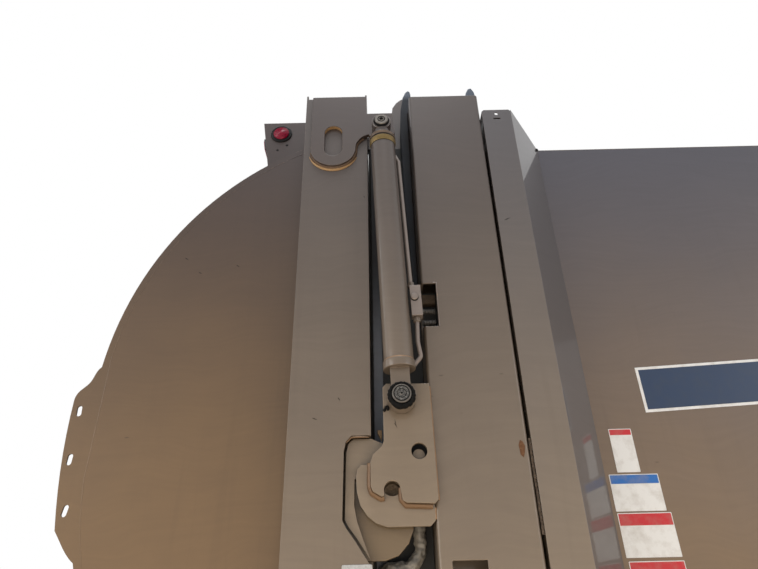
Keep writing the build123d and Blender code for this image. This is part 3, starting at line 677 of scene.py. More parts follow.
# An even orange-gold bronze: painted highlight for faces lit warm from below.
HIGHLIGHT_PAINT = MetallicPaint(
    "bronze_painted_highlight",
    (0.330, 0.200, 0.090),
    (0.330, 0.200, 0.090),
    worn=(0.48, 0.31, 0.15),
    coat=0.2,
    shade_and_grime=0.35,
)
RUBBER = Moulding("black_rubber")
LAMP_RUBBER = Moulding("lamp_rubber", (0.006, 0.006, 0.007), dust=0.06, roughness=0.55, specular=0.15)
HOUSING = Moulding("black_lamp_plastic", (0.016, 0.016, 0.018), roughness=0.38, dust=0.2)
HOSE = Moulding("grimy_hose", (0.060, 0.058, 0.052), (0.40, 0.37, 0.32), 0.85, 0.38)
LENS = LampLens("red_lamp_lens")
GREASE = CakedDirt("black_grease", (0.004, 0.004, 0.004), (0.014, 0.013, 0.012), 0.7, 130.0, 0.1)
GREASY_STEEL = CakedDirt("greasy_pin_steel", (0.030, 0.029, 0.028), (0.300, 0.285, 0.262), 0.5, 260.0)
# Lock pin faces: pale brown made paler against the deep shade of the notch: partly painted light.
PIN_GRIT = CakedDirt("gritty_pin_face", (0.200, 0.145, 0.095), (0.460, 0.360, 0.250), 0.7, 170.0)
OILY_RUST = CakedDirt("oily_rust", (0.035, 0.020, 0.009), (0.075, 0.048, 0.026), 0.8, 60.0)
SEAM_DIRT = CakedDirt("packed_seam_dirt")
DARK_SCORE = CakedDirt("dark_scores", (0.012, 0.009, 0.008), (0.040, 0.030, 0.024), 0.8, 90.0, 0.2)
RUST = CakedDirt("brown_rust", (0.110, 0.048, 0.020), (0.200, 0.105, 0.050), 0.8, 150.0, 0.3)
WHITE_FILM = StuckFilm("white_film")
RED_FILM = StuckFilm("red_film", (0.50, 0.022, 0.030))
BLUE_FILM = StuckFilm("blue_film", (0.020, 0.130, 0.420))
NAVY_FILM = StuckFilm("navy_film", (0.012, 0.030, 0.075), (0.03, 0.04, 0.06))


# Mesh building


@dataclass(frozen=True)
class Dress:
    """What a placed piece wears and what carries it."""

    finish: Finish
    body: Body
    slot: Slot


class Shape:
    """A mesh that grows from plain pieces, drawn on the truck's right side."""

    def __init__(self) -> None:
        """Start with an empty mesh."""
        self.bm = bmesh.new()

    def rings(self, rows: Sequence[Sequence[Vector]], closed: bool = False, caps: bool = True) -> Shape:
        """Join rows of points into one skin.

        Args:
            rows: Rows of equally many points, each a closed loop.
            closed: Whether the last row joins the first.
            caps: Whether open ends are filled.

        Returns:
            The shape itself.
        """
        made = [[self.bm.verts.new(point) for point in row] for row in rows]
        count = len(made[0])
        joins = list(zip(made, made[1:])) + ([(made[-1], made[0])] if closed else [])
        for lower, upper in joins:
            for i in range(count):
                j = (i + 1) % count
                self.bm.faces.new((lower[i], lower[j], upper[j], upper[i]))
        if caps and not closed:
            self.bm.faces.new(list(reversed(made[0])))
            self.bm.faces.new(made[-1])
        return self

    def lathe(
        self, profile: Sequence[Pair], origin: Vector, axis: Vector, steps: int = 48, closed: bool = False
    ) -> Shape:
        """Turn a profile round an axis.

        Args:
            profile: Radius and place along the axis of each ring; radius 0 makes a tip.
            origin: Where the axis starts.
            axis: Its direction.
            steps: Points round it.
            closed: Whether the profile's end joins its start, as in a loose ring.

        Returns:
            The shape itself.
        """
        turn = axis.normalized().to_track_quat("Z", "Y").to_matrix()
        rows = []
        for radius, along in profile:
            ring = []
            wide = max(radius, TIP)
            for i in range(steps):
                angle = 2 * math.pi * i / steps
                spot = Vector((wide * math.cos(angle), wide * math.sin(angle), along))
                ring.append(origin + turn @ spot)
            rows.append(ring)
        return self.rings(rows, closed)

    def tube(
        self,
        path: Sequence[Vector],
        radius: float,
        sides: int = 12,
        swell: Callable[[int], float] | None = None,
        closed: bool = False,
    ) -> Shape:
        """Run a round tube along a path.

        Args:
            path: Points of its middle line.
            radius: Its radius.
            sides: Points round it.
            swell: Gives the share of the radius at each point of the path.
            closed: Whether the path is a loop.

        Returns:
            The shape itself.
        """
        rows = []
        last = len(path) - 1
        up = None
        for i, point in enumerate(path):
            before = path[i - 1] if (i or closed) else path[0]
            after = path[(i + 1) % len(path)] if (i < last or closed) else path[last]
            way = (after - before).normalized()
            if up is None:
                up = way.orthogonal().normalized()
            up = (up - way * up.dot(way)).normalized()
            across = way.cross(up)
            size = radius * (swell(i) if swell else 1.0)
            row = []
            for k in range(sides):
                angle = 2 * math.pi * k / sides
                row.append(point + (up * math.cos(angle) + across * math.sin(angle)) * size)
            rows.append(row)
        return self.rings(rows, closed)

    def bead(
        self,
        corners: Sequence[Vector],
        radius: float = 4 * MM,
        pitch: float = 5 * MM,
        seed: int = 1,
        ripple: float = 0.07,
        taper: float = 0.0,
    ) -> Shape:
        """Lay a weld bead along a line of corners, with its ripples.

        Args:
            corners: Points that the bead runs through.
            radius: Its radius.
            pitch: Distance between ripples.
            seed: Seed of its unevenness.
            ripple: Height of the ripples as a share of the radius.
            taper: How much of the radius is lost at both ends.

        Returns:
            The shape itself.
        """
        chance = random.Random(seed)
        path = even_steps(corners, pitch / 2)
        sizes = []
        for i in range(len(path)):
            uneven = (1 + ripple * chance.uniform(-1.7, 1.4)) * (1 + ripple if i % 2 else 1 - ripple)
            sizes.append(uneven * (1 - taper * abs(2 * i / (len(path) - 1) - 1) ** 2))
        return self.tube(path, radius, 10, lambda i: sizes[i])

    def panel(
        self,
        outline: Sequence[Pair],
        origin: Vector,
        across: Vector,
        up: Vector,
        thick: float,
        edge: float = 0.8 * MM,
    ) -> Shape:
        """Add a flat plate on a face, with bevelled edges.

        Args:
            outline: Its corners, across and up, anticlockwise seen from outside.
            origin: Where the outline's zero lies on the face.
            across: Direction across the face.
            up: Direction up the face.
            thick: How far the plate stands proud of the face.
            edge: Size of its bevel.

        Returns:
            The shape itself.
        """
        out = across.cross(up)
        rows = []
        for inset, rise in ((edge, 0.0), (0.0, edge), (0.0, thick - edge), (edge, thick)):
            ring = inset_outline(outline, inset)
            rows.append([origin + across * a + up * b + out * rise for a, b in ring])
        return self.rings(rows)

    def slab(self, outline: Sequence[Pair], outer: float, thick: float, edge: float = 0.8 * MM) -> Shape:
        """Add a flat plate in the side view, with its outer face so far out from the truck's middle."""
        return self.panel(outline, Vector((0, thick - outer, 0)), ALONG, UP, thick, edge)

    def score(self, outline: Sequence[Pair], outer: float) -> Shape:
        """Add a very thin flat spot in the side view, on a face so far out from the truck's middle."""
        return self.slab(outline, outer + 0.3 * MM, 0.3 * MM, 0.05 * MM)

    def scratch(self, start: Pair, end: Pair, outer: float, width: float = 1.4 * MM) -> Shape:
        """Add a thin pointed scratch in the side view.

        Args:
            start: Its first tip.
            end: Its last tip.
            outer: How far out from the truck's middle the scratched face lies.
            width: Its width where it is widest.

        Returns:
            The shape itself.
        """
        first, last = Vector(start), Vector(end)
        middle = first.lerp(last, 0.4)
        aside = (last - first).orthogonal().normalized() * (width / 2)
        outline = [tuple(first), tuple(middle - aside), tuple(last), tuple(middle + aside)]
        return self.score(outline, outer)

    def block(self, low: Triple, high: Triple, edge: float = 1 * MM) -> Shape:
        """Add an upright block with bevelled edges.

        Args:
            low: Its lowest corner.
            high: Its highest corner.
            edge: Size of its bevels.

        Returns:
            The shape itself.
        """
        made = bmesh.ops.create_cube(self.bm, size=1.0)["verts"]
        middle = (Vector(low) + Vector(high)) / 2
        size = Vector(high) - Vector(low)
        for vertex in made:
            vertex.co = middle + Vector(a * b for a, b in zip(vertex.co, size))
        edges = {e for v in made for e in v.link_edges}
        bmesh.ops.bevel(self.bm, geom=list(edges), offset=edge, segments=2, affect="EDGES", profile=0.5)
        return self

    def node(self, name: str, whole: bool = True) -> Shape:
        """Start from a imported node's own mesh.

        Args:
            name: The node's name.
            whole: Whether its flat faces are made whole again.

        Returns:
            The shape itself.
        """
        self.bm.from_mesh(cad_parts[name].data)
        bmesh.ops.remove_doubles(self.bm, verts=self.bm.verts[:], dist=0.01 * MM)
        if whole:
            bmesh.ops.dissolve_limit(
                self.bm, angle_limit=math.radians(0.5), verts=self.bm.verts[:], edges=self.bm.edges[:]
            )
        return self

    def crumple(self, amount: float, scale: float, step: float = 7 * MM) -> Shape:
        """Divide the skin finely and wrinkle it.

        Args:
            amount: How far points move.
            scale: How fine the wrinkles are.
            step: Edges longer than this are divided.

        Returns:
            The shape itself.
        """
        bmesh.ops.triangulate(self.bm, faces=self.bm.faces[:])
        for _ in range(4):
            long = [e for e in self.bm.edges if e.calc_length() > step]
            if not long:
                break
            bmesh.ops.subdivide_edges(self.bm, edges=long, cuts=1)
            bmesh.ops.triangulate(self.bm, faces=self.bm.faces[:])
        self.bm.normal_update()
        for vertex in self.bm.verts:
            push = noise.noise(vertex.co * scale)
            vertex.co += vertex.normal * (amount * push)
        return self

    def soften(self, width: float, angle: float = 32.0, segments: int = 2) -> Shape:
        """Round the sharp edges.

        Args:
            width: Width of the rounding.
            angle: Edges that turn more than this, in degrees, are rounded.
            segments: Steps of the rounding.

        Returns:
            The shape itself.
        """
        mesh = bpy.data.meshes.new("work")
        self.bm.to_mesh(mesh)
        work = bpy.data.objects.new("work", mesh)
        bpy.context.scene.collection.objects.link(work)
        rounding = work.modifiers.new("edges", "BEVEL")
        rounding.width = width
        rounding.segments = segments
        rounding.limit_method = "ANGLE"
        rounding.angle_limit = math.radians(angle)
        rounding.use_clamp_overlap = True
        rounding.miter_outer = "MITER_ARC"
        graph = bpy.context.evaluated_depsgraph_get()
        done = bpy.data.meshes.new_from_object(work.evaluated_get(graph))
        self.bm.clear()
        self.bm.from_mesh(done)
        bpy.data.objects.remove(work)
        bpy.data.meshes.remove(mesh)
        bpy.data.meshes.remove(done)
        return self

    def place(
        self, name: str, dress: Dress, sides: Sides = Sides.BOTH, replaced: Iterable[str] = ()
    ) -> None:
        """Make the objects, one for each side, and hand them to the frame.

        Args:
            name: The piece's name, without its side.
            dress: Its finish, body and slot.
            sides: Sides that it stands on.
            replaced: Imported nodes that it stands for; in a pair their names have no side either.
        """
        bmesh.ops.recalc_face_normals(self.bm, faces=self.bm.faces[:])
        for way in sides.value:
            mesh = bpy.data.meshes.new(name)
            self.bm.to_mesh(mesh)
            label = {1: "_right", -1: "_left", 0: ""}[way]
            if way == -1:
                mesh.transform(Matrix.Diagonal((1, -1, 1, 1)))
                mesh.flip_normals()
            mesh.shade_smooth()
            mesh.set_sharp_from_angle(angle=math.radians(34))
            mesh.materials.append(dress.finish.material())
            piece = bpy.data.objects.new(f"{name}{label}", mesh)
            piece.modifiers.new("flat_faces", "WEIGHTED_NORMAL").keep_sharp = True
            bpy.context.scene.collection.objects.link(piece)
            body = dress.body.value
            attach(piece, body.replace("_right", "_left") if way == -1 else body)
            for node in replaced:
                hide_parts(f"{node}{label}")
            log.info("%s: %d faces on %s", piece.name, len(mesh.polygons), body)
        self.bm.free()


def reskin(
    node: str, name: str, dress: Dress, width: float = FOLD_EDGE, angle: float = 32.0, segments: int = 2
) -> None:
    """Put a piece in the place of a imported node: its own mesh with the edges rounded.

    Args:
        node: The node's name; where it ends with its side, the other side's node is replaced too.
        name: The piece's name, without its side.
        dress: The piece's finish, body and slot.
        width: Width of the rounding.
        angle: Edges that turn more than this, in degrees, are rounded.
        segments: Steps of the rounding.
    """
    sides = Sides.BOTH if node.endswith("_right") else Sides.MIDDLE
    shape = Shape().node(node).soften(width, angle, segments)
    shape.place(name, dress, sides, [node.removesuffix("_right")])


def in_mm(*pairs: Pair) -> list[Pair]:
    """Turn pairs of millimetres into metres."""
    return [(a * MM, b * MM) for a, b in pairs]


def even_steps(corners: Sequence[Vector], step: float) -> list[Vector]:
    """Divide a line of corners into even steps.

    Args:
        corners: Points of the line.
        step: Distance between the points given back.

    Returns:
        Points along the line.
    """
    points = [corners[0]]
    for start, end in zip(corners, corners[1:]):
        count = max(1, round((end - start).length / step))
        points += [start.lerp(end, i / count) for i in range(1, count + 1)]
    return points


def inset_outline(outline: Sequence[Pair], amount: float) -> list[Pair]:
    """Move each corner of an anticlockwise outline inwards.

    Args:
        outline: Its corners.
        amount: How far each side moves.

    Returns:
        The new corners.
    """
    if not amount:
        return list(outline)
    moved = []
    for i, point in enumerate(outline):
        here = Vector(point)
        before = (here - Vector(outline[i - 1])).normalized()
        after = (Vector(outline[(i + 1) % len(outline)]) - here).normalized()
        normal = Vector((-before.y - after.y, before.x + after.x)).normalized()
        lean = max(0.4, normal.dot(Vector((-before.y, before.x))))
        moved.append(tuple(here + normal * (amount / lean)))
    return moved


def arc(middle: Pair, radius: float, start: float, end: float, steps: int = 24) -> list[Pair]:
    """Give points on an arc in the side view. Its angles are in degrees, from the front, turning up."""
    angles = [math.radians(start + (end - start) * i / steps) for i in range(steps + 1)]
    return [(middle[0] + radius * math.cos(a), middle[1] + radius * math.sin(a)) for a in angles]


def inset_sign(value: float) -> int:
    """Give the direction from a place towards the middle, where the middle lies at 0."""
    return 1 if value < 0 else -1


def rounded(low: Pair, high: Pair, radius: float) -> list[Pair]:
    """Give a rectangle's outline with round corners, anticlockwise.

    Args:
        low: Its lowest corner.
        high: Its highest corner.
        radius: Radius of its corners.

    Returns:
        Points of the outline.
    """
    turns = (
        ((high[0] - radius, high[1] - radius), 0),
        ((low[0] + radius, high[1] - radius), 90),
        ((low[0] + radius, low[1] + radius), 180),
        ((high[0] - radius, low[1] + radius), 270),
    )
    return [point for middle, start in turns for point in arc(middle, radius, start, start + 90, 5)]


def at(points: Iterable[Pair], out: float) -> list[Vector]:
    """Place points of the side view at a distance out from the truck's middle."""
    return [Vector((x, -out, z)) for x, z in points]


def low_high(node: str) -> tuple[Vector, Vector]:
    """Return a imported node's lowest and highest corners."""
    low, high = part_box(node)
    return Vector(low), Vector(high)


@dataclass(frozen=True)
class Stations:
    """Places that the pieces share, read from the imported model."""

    gate_rear: float = low_high("gate_post_right")[0].x
    gate_front: float = low_high("gate_post_right")[1].x
    body_rear: float = low_high("rear_post_right")[0].x
    post_front: float = low_high("rear_post_right")[1].x
    wall_out: float = -low_high("side_wall_right")[0].y
    post_out: float = -low_high("gate_post_right")[0].y
    plate_out: float = -low_high("latch_plate_right")[0].y
    dome_out: float = -low_high("gate_side_right")[0].y
    roof_top: float = low_high("roof_panel")[1].z

    @property
    def lower_pin(self) -> Pair:
        """Place of the lower cylinder pin in the side view."""
        low, high = low_high("lower_pins")
        return (low.x + high.x) / 2, (low.z + high.z) / 2

    @property
    def upper_pin(self) -> Pair:
        """Place of the upper cylinder pin in the side view."""
        low, high = low_high("lift_rod_right")
        return low.x + LiftCylinders.upper_eye, high.z - LiftCylinders.upper_eye

    def from_pin(self, points: Iterable[Pair]) -> list[Pair]:
        """Turn points in millimetres from the lower pin into places."""
        x, z = self.lower_pin
        return [(x + a * MM, z + b * MM) for a, b in points]


@dataclass
class SubAssembly:
    """A group of pieces that belong together, with the places that all groups share."""

    spots: Stations

    def build(self) -> None:
        """Build its pieces."""
        raise NotImplementedError


@dataclass
class BodyShell(SubAssembly):
    """Walls, roof, floor, sills and front ring of the body section."""

    edge: float = 2.5 * MM
    bead: float = 3 * MM
    seal_thick: float = 4 * MM
    seal_lip: float = 5 * MM
    seal_inset: float = 4 * MM
    seal_foot: float = 30 * MM
    jamb_width: float = 20 * MM
    jamb_shown: float = 28 * MM
    weld_foot: float = 10 * MM
    weld_gap: float = 4 * MM
    channels: int = 5
    channel_width: float = 90 * MM
    sill_width: float = 75 * MM

    def build(self) -> None:
        """Build the shell's pieces."""
        worn = Dress(PAINT, Body.SECTION, Slot.PAINT)
        for node in ("roof_panel", "front_ring", "rear_header", "crossmembers", "long_sills"):
            reskin(node, f"{node}_skin", worn, self.edge)
        reskin("seal_frame", "seal_frame_skin", Dress(JAMB_GREY, Body.SECTION, Slot.SEAL), self.edge)
        for node in ("floor_plate", "side_wall_right", "side_wall_left"):
            wear_node(node, WALL_PAINT)
        self.build_welds()
        self.build_seals()

    def build_welds(self) -> None:
        """Lay the beads that join the ring to the shell and the crossmembers to the sills."""
        weld = Dress(WELD_PAINT, Body.SECTION, Slot.PAINT)
        corner = Vector((low_high("front_ring")[0].x, -self.spots.wall_out, self.spots.roof_top))
        foot = Vector((corner.x, corner.y, low_high("side_wall_right")[0].z + self.weld_foot))
        ring = Shape()
        ring.bead([foot, corner], self.bead)
        ring.bead([corner, Vector((corner.x, 0, corner.z))], self.bead)
        ring.place("ring_weld", weld)
        low, high = low_high("crossmembers")
        sill = -low_high("long_sills")[0].y
        pitch = (high.x - low.x - self.channel_width) / (self.channels - 1)
        welds = Shape()
        for i in range(self.channels):
            start = low.x + i * pitch
            end = start + self.channel_width - self.weld_gap
            for out in (sill, sill - self.sill_width):
                welds.bead(at([(start + self.weld_gap, low.z), (end, low.z)], out), self.bead, seed=40 + i)
        welds.place("sill_weld", weld)

    def build_seals(self) -> None:
        """Build the rubber lip round the jamb's rear face, and a black strip down the jamb's side that is a
        painted shadow of the gate post's edge.
        """
        low, high = low_high("seal_frame")
        out = -low.y
        rubber = Dress(RUBBER, Body.SECTION, Slot.SEAL)
        inset = self.seal_inset
        corners = (
            (-out + inset, low.z + inset),
            (out - inset, low.z + inset),
            (out - inset, high.z - inset),
            (-out + inset, high.z - inset),
        )
        inner = self.jamb_width - inset
        rows = []
        for share, depth in ((0.0, 0.0), (0.15, 1.0), (0.85, 1.0), (1.0, 0.0)):
            ring = []
            for y, z in corners:
                push = inset_sign(y) * inner * share
                lift = inset_sign(z - (low.z + high.z) / 2) * inner * share
                ring.append(Vector((low.x - self.seal_lip * depth, y + push, z + lift)))
            rows.append(ring)
        Shape().rings(rows, closed=True).place("jamb_lip", rubber, Sides.MIDDLE)
        # Black strip down the jamb's side: painted shadow of the gate post's edge.
        foot = (low.x + self.jamb_shown, low.z + self.seal_foot)
        top = (high.x - 1 * MM, high.z - 6 * MM)
        strip = Shape().slab(rounded(foot, top, 2 * MM), out + self.seal_thick, self.seal_thick)
        strip.place("jamb_shadow_strip", rubber)


@dataclass
class WallFilms(SubAssembly):
    """Blank notice films and one plain straight stripe on the side walls; nothing is printed on them."""

    thick: float = 0.5 * MM
    corner: float = 2 * MM
    border: float = 8 * MM
    step: float = 0.25 * MM
    band_gap: int = 2
    band_corner: float = 1 * MM
    bevel: float = 0.1 * MM
    step_bevel: float = 0.05 * MM
    notices: tuple[tuple[tuple[int, int, int, int], int, Finish], ...] = (
        ((34, 904, 96, 1020), 17, RED_FILM),
        ((9, 807, 139, 899), 24, BLUE_FILM),
        ((10, 699, 149, 803), 30, RED_FILM),
        ((13, 588, 151, 691), 30, RED_FILM),
    )
    stripe: tuple[Pair, ...] = ((150, 1064), (1180, 1117), (1180, 1250), (150, 1197))

    def build(self) -> None:
        """Build the films. Their corners are in millimetres ahead of the cover and above the ground."""
        self.build_notices()
        self.build_stripe()

    def outline(self, corners: Iterable[Pair]) -> list[Pair]:
        """Turn corners in millimetres ahead of the cover and above the ground into places."""
        start = low_high("post_cover_right")[1].x
        return [(start + x * MM, z * MM) for x, z in corners]

    def lay_film(self, shape: Shape, outline: Sequence[Pair], wall: float) -> None:
        """Lay a film on the wall."""
        shape.slab(outline, wall + self.thick, self.thick, self.bevel)

    def lay_color(self, shape: Shape, outline: Sequence[Pair], wall: float) -> None:
        """Lay a coloured film on top of another one."""
        shape.slab(outline, wall + self.thick + self.step, self.step, self.step_bevel)

    def build_notices(self) -> None:
        """Build four blank notices, each with a plain coloured band along its top."""
        sheets = Shape()
        for (left, foot, right, top), *_ in self.notices:
            low, high = self.outline(((left, foot), (right, top)))
            self.lay_film(sheets, rounded(low, high, self.corner), self.spots.wall_out)
        sheets.place("notice_films", Dress(WHITE_FILM, Body.SECTION, Slot.PAINT))
        gap = self.band_gap
        for finish in (RED_FILM, BLUE_FILM):
            bands = Shape()
            for (left, _, right, top), band, worn in self.notices:
                if worn is finish:
                    low, high = self.outline(((left + gap, top - band), (right - gap, top - gap)))
                    self.lay_color(bands, rounded(low, high, self.band_corner), self.spots.wall_out)
            bands.place(f"notice_bands_{finish.name}", Dress(finish, Body.SECTION, Slot.PAINT))

    def build_stripe(self) -> None:
        """Build the stripe: one straight band with straight ends, navy with white edges."""
        outline = self.outline(self.stripe)
        edges = Shape()
        self.lay_film(edges, outline, self.spots.wall_out)
        edges.place("stripe_edges", Dress(WHITE_FILM, Body.SECTION, Slot.PAINT))
        fills = Shape()
        self.lay_color(fills, inset_outline(outline, self.border), self.spots.wall_out)
        fills.place("stripe_fills", Dress(NAVY_FILM, Body.SECTION, Slot.PAINT))


@dataclass
class RearPosts(SubAssembly):
    """Posts of the body with their fins, their window and the seam to the slanted cover."""

    edge: float = 3 * MM
    fin_edge: float = 11 * MM
    window_back: float = 43 * MM
    window: Pair = (1.289, 1.427)
    fitting_radius: float = 10 * MM
    fitting_depth: float = 34 * MM
    fitting_length: float = 41 * MM
    fitting_rises: Pair = (26 * MM, 62 * MM)
    fitting_ribs: int = 9
    band_drops: Pair = (52 * MM, 22 * MM)
    rim_gap: float = 2.4 * MM
    seam: Pair = (0.745, 0.970)
    slot_back: float = 50 * MM
    clip_half: float = 15 * MM
    clip_drops: Pair = (50 * MM, 30 * MM)

    def build(self) -> None:
        """Build the posts and covers."""
        reskin("rear_post_right", "rear_post_skin", Dress(PAINT, Body.SECTION, Slot.PAINT), self.edge)
        reskin("post_cover_right", "post_cover_skin", Dress(COVER_PAINT, Body.SECTION, Slot.PAINT))
        fin = Dress(FIN_PAINT, Body.SECTION, Slot.PAINT)
        reskin("post_fins_right", "post_fin_skin", fin, self.fin_edge, 60, 5)
        self.build_fittings()
        self.build_seam_dirt()
        self.build_cover_bits()

    def build_fittings(self) -> None:
        """Build what shows in the posts' window: two hose ends, a rusty band, a black backing and a pale
        rim. The backing is painted shade and the rim a painted highlight along the window's edge.
        """
        low, high = self.window
        rear, edge = self.spots.body_rear, self.spots.body_rear + self.window_back
        y = -(self.spots.post_out - self.fitting_depth)
        r = self.fitting_radius
        ends = Shape()
        for seed, rise in enumerate(self.fitting_rises, 51):
            chance = random.Random(seed)
            ribs = [(0.0, 0.0), (r * 0.8, 0.0)]
            for i in range(self.fitting_ribs):
                along = (1 + 4.4 * i) * MM
                peak = r * chance.uniform(0.86, 1.05)
                ribs += [(r * 0.68, along), (peak, along + 1.5 * MM), (r * 0.68, along + 3 * MM)]
            ribs.append((0.0, self.fitting_length))
            ends.lathe(ribs, Vector((rear + 1 * MM, y, low + rise)), ALONG, 22)
        ends.place("window_hose_ends", Dress(HOSE_END, Body.SECTION, Slot.PIN))
        foot, top = (high - drop for drop in self.band_drops)
        band = Shape().block((rear + 2 * MM, y - 6 * MM, foot), (edge, y + 20 * MM, top), 3 * MM)
        band.place("window_band", Dress(OILY_RUST, Body.SECTION, Slot.PIN))
        # A black backing deep in the window: painted shade.
        inner = (rear + 8 * MM, y + 22 * MM, low + 2 * MM)
        back = Shape().block(inner, (edge + 8 * MM, y + 26 * MM, high - 2 * MM))
        back.place("window_back", Dress(RUBBER, Body.SECTION, Slot.RUBBER))
        # A pale bead up the window's front edge and along its top: painted highlight on the rim.
        front = edge + self.rim_gap
        rim = [(front, low - 1 * MM), (front, high + 2 * MM), (edge - 8 * MM, high + 3 * MM)]
        worn = Shape().bead(at(rim, self.spots.post_out), 1.8 * MM, 4 * MM, 53, 0.12)
        worn.place("window_rim", Dress(BLOCK_PAINT, Body.SECTION, Slot.PAINT))

    def build_seam_dirt(self) -> None:
        """Build the dirt packed in the gap between each post and its cover."""
        chance = random.Random(7)
        cover = low_high("post_cover_right")[0]
        middle = (self.spots.post_front + cover.x) / 2
        low, high = self.seam
        shape = Shape()
        steps = 90
        path = []
        for i in range(steps + 1):
            height = low + (high - low) * i / steps
            path.append(Vector((middle, -self.spots.post_out + chance.uniform(2, 5) * MM, height)))
        shape.tube(path, 3.8 * MM, 7, lambda i: chance.uniform(0.75, 1.0))
        shape.place("seam_dirt", Dress(SEAM_DIRT, Body.SECTION, Slot.PAINT))

    def build_cover_bits(self) -> None:
        """Build the dark clip behind each cover's slot, and a small dark bolt head where the cover meets the
        roof whose black is painted shade for that corner.
        """
        low, high = low_high("post_cover_right")
        middle = low.x + self.slot_back
        foot, top = (high.z - drop for drop in self.clip_drops)
        clip = rounded((middle - self.clip_half, foot), (middle + self.clip_half, top), 2 * MM)
        dark = Shape().slab(clip, self.spots.post_out - 7 * MM, 2 * MM)
        # Dark bolt head in the corner of cover and roof: painted shade.
        spot = Vector((high.x - 5 * MM, -self.spots.wall_out - 4 * MM, self.spots.roof_top - 6 * MM))
        dark.lathe(in_mm((0, 0), (5.5, 0), (6.5, 2.5), (4.5, 5.5), (0, 6)), spot, OUT, 24)
        dark.place("cover_clip_and_shade", Dress(GREASE, Body.SECTION, Slot.RUBBER))


@dataclass
class LockPlates(SubAssembly):
    """Latch plates with their welds, the claws behind them and the tailgate's striker plates."""

    weld: float = 8.5 * MM
    smooth: float = 0.02
    edge_weld: float = 3 * MM
    left_weld: tuple[Pair, ...] = ((-82, -156), (-83, -212), (-78, -226), (-57, -239), (-51, -237))
    right_weld: tuple[Pair, ...] = ((-8, -216), (-7, -243), (3, -255), (66, -258))
    post_weld: tuple[Pair, ...] = ((76, 40), (81, -246))
    foot_weld: tuple[Pair, ...] = ((72, -262), (72, -288))
    gusset: tuple[Pair, ...] = ((1112, 1000), (1196, 972), (1196, 958), (1112, 930))
    pocket_edge_highlight: tuple[Pair, ...] = ((-143, -103), (-130, -90), (-113, -89), (-85, -90))
    wedge: tuple[Pair, ...] = ((-64, -66), (-53, -89), (-52, -59), (-64, -58))
    hole: Pair = (39, -139)
    pocket_bead: float = 2.6 * MM
    wedge_depth: float = 55 * MM
    wedge_thick: float = 10 * MM
    gusset_back: float = 14 * MM
    gusset_thick: float = 8 * MM

    def build(self) -> None:
        """Build the plates and their welds."""
        fixed = Dress(PLATE_PAINT, Body.SECTION, Slot.PAINT)
        reskin("latch_plate_right", "latch_plate_skin", fixed)
        reskin("guide_plate_right", "guide_plate_skin", fixed)
        reskin("striker_plate_right", "striker_skin", Dress(STRIKER_PAINT, Body.GATE, Slot.PAINT))
        self.build_welds()
        self.build_gusset()
        self.build_hole_backs()
        hose = Shape().node("lock_hose_right", whole=False).crumple(4.5 * MM, 42.0, 6 * MM)
        hose.crumple(2.6 * MM, 120.0, 4 * MM)
        hose.place("hose_sleeve", Dress(HOSE, Body.SECTION, Slot.RUBBER), replaced=["lock_hose"])

    def build_welds(self) -> None:
        """Lay the beads between the latch plate, the claw and the post, a small wedge, and a bead along the
        pocket's top edge; the wedge and the pocket bead are painted highlights.
        """
        foot = self.spots.post_out
        welds = Shape()
        for seed, corners in ((3, self.left_weld), (4, self.right_weld)):
            welds.bead(at(self.spots.from_pin(corners), foot), self.weld, seed=seed, ripple=self.smooth)
        welds.place("latch_fillet", Dress(FILLET_PAINT, Body.SECTION, Slot.PAINT))
        edges = Shape()
        edges.bead(at(self.spots.from_pin(self.post_weld), foot + 1 * MM), self.edge_weld, seed=5)
        edges.bead(at(self.spots.from_pin(self.foot_weld), foot - 4 * MM), self.edge_weld, seed=6)
        edges.place("latch_weld", Dress(WELD_PAINT, Body.SECTION, Slot.PAINT))
        # A small wedge whose orange-gold colour is a painted highlight, for a face lit warm from below.
        wedge = Shape().slab(self.spots.from_pin(self.wedge), foot - self.wedge_depth, self.wedge_thick)
        wedge.place("latch_wedge", Dress(HIGHLIGHT_PAINT, Body.SECTION, Slot.PAINT))
        # A bead on the gate along the pocket's top edge, so that the edge looks lit: painted highlight.
        line = at(self.spots.from_pin(self.pocket_edge_highlight), foot - 2 * MM)
        pocket = Shape().bead(line, self.pocket_bead, seed=7, taper=0.4)
        pocket.place("pocket_edge_highlight", Dress(FILLET_PAINT, Body.GATE, Slot.PAINT))

    def build_gusset(self) -> None:
        """Build the pale wedge that props the guide frame on the jamb."""
        face = Vector((low_high("seal_frame")[0].x + self.gusset_back, 0, 0))
        outline = [(-out * MM, z * MM) for out, z in self.gusset]
        shape = Shape().panel(outline, face, -OUT, UP, self.gusset_thick)
        shape.place("lock_gusset", Dress(JAMB_GREY, Body.SECTION, Slot.SEAL))

    def build_hole_backs(self) -> None:
        """Build the painted disc inside the latch hole and the dark line under the lock pin, which is
        painted shade along the claw's edge.
        """
        hole = at(self.spots.from_pin([self.hole]), self.spots.post_out - 3 * MM)[0]
        disc = Shape().lathe(in_mm((0, -4), (16, -4), (16, 1.2), (14.8, 2), (0, 2)), hole, OUT, 40)
        disc.place("latch_hole_disc", Dress(PLATE_PAINT, Body.SECTION, Slot.PAINT))
        # Dark line round the lower arc of the lock pin's face: painted shade along the claw's edge.
        low, high = low_high("lock_pins")
        middle = (low.x + high.x) / 2, (low.z + high.z) / 2
        radius = (high.x - low.x) / 2 - 1 * MM
        line = Shape().tube(at(arc(middle, radius, 200, 345, 16), -low.y), 1.3 * MM, 8)
        line.place("lock_pin_line", Dress(GREASE, Body.GATE, Slot.PIN))


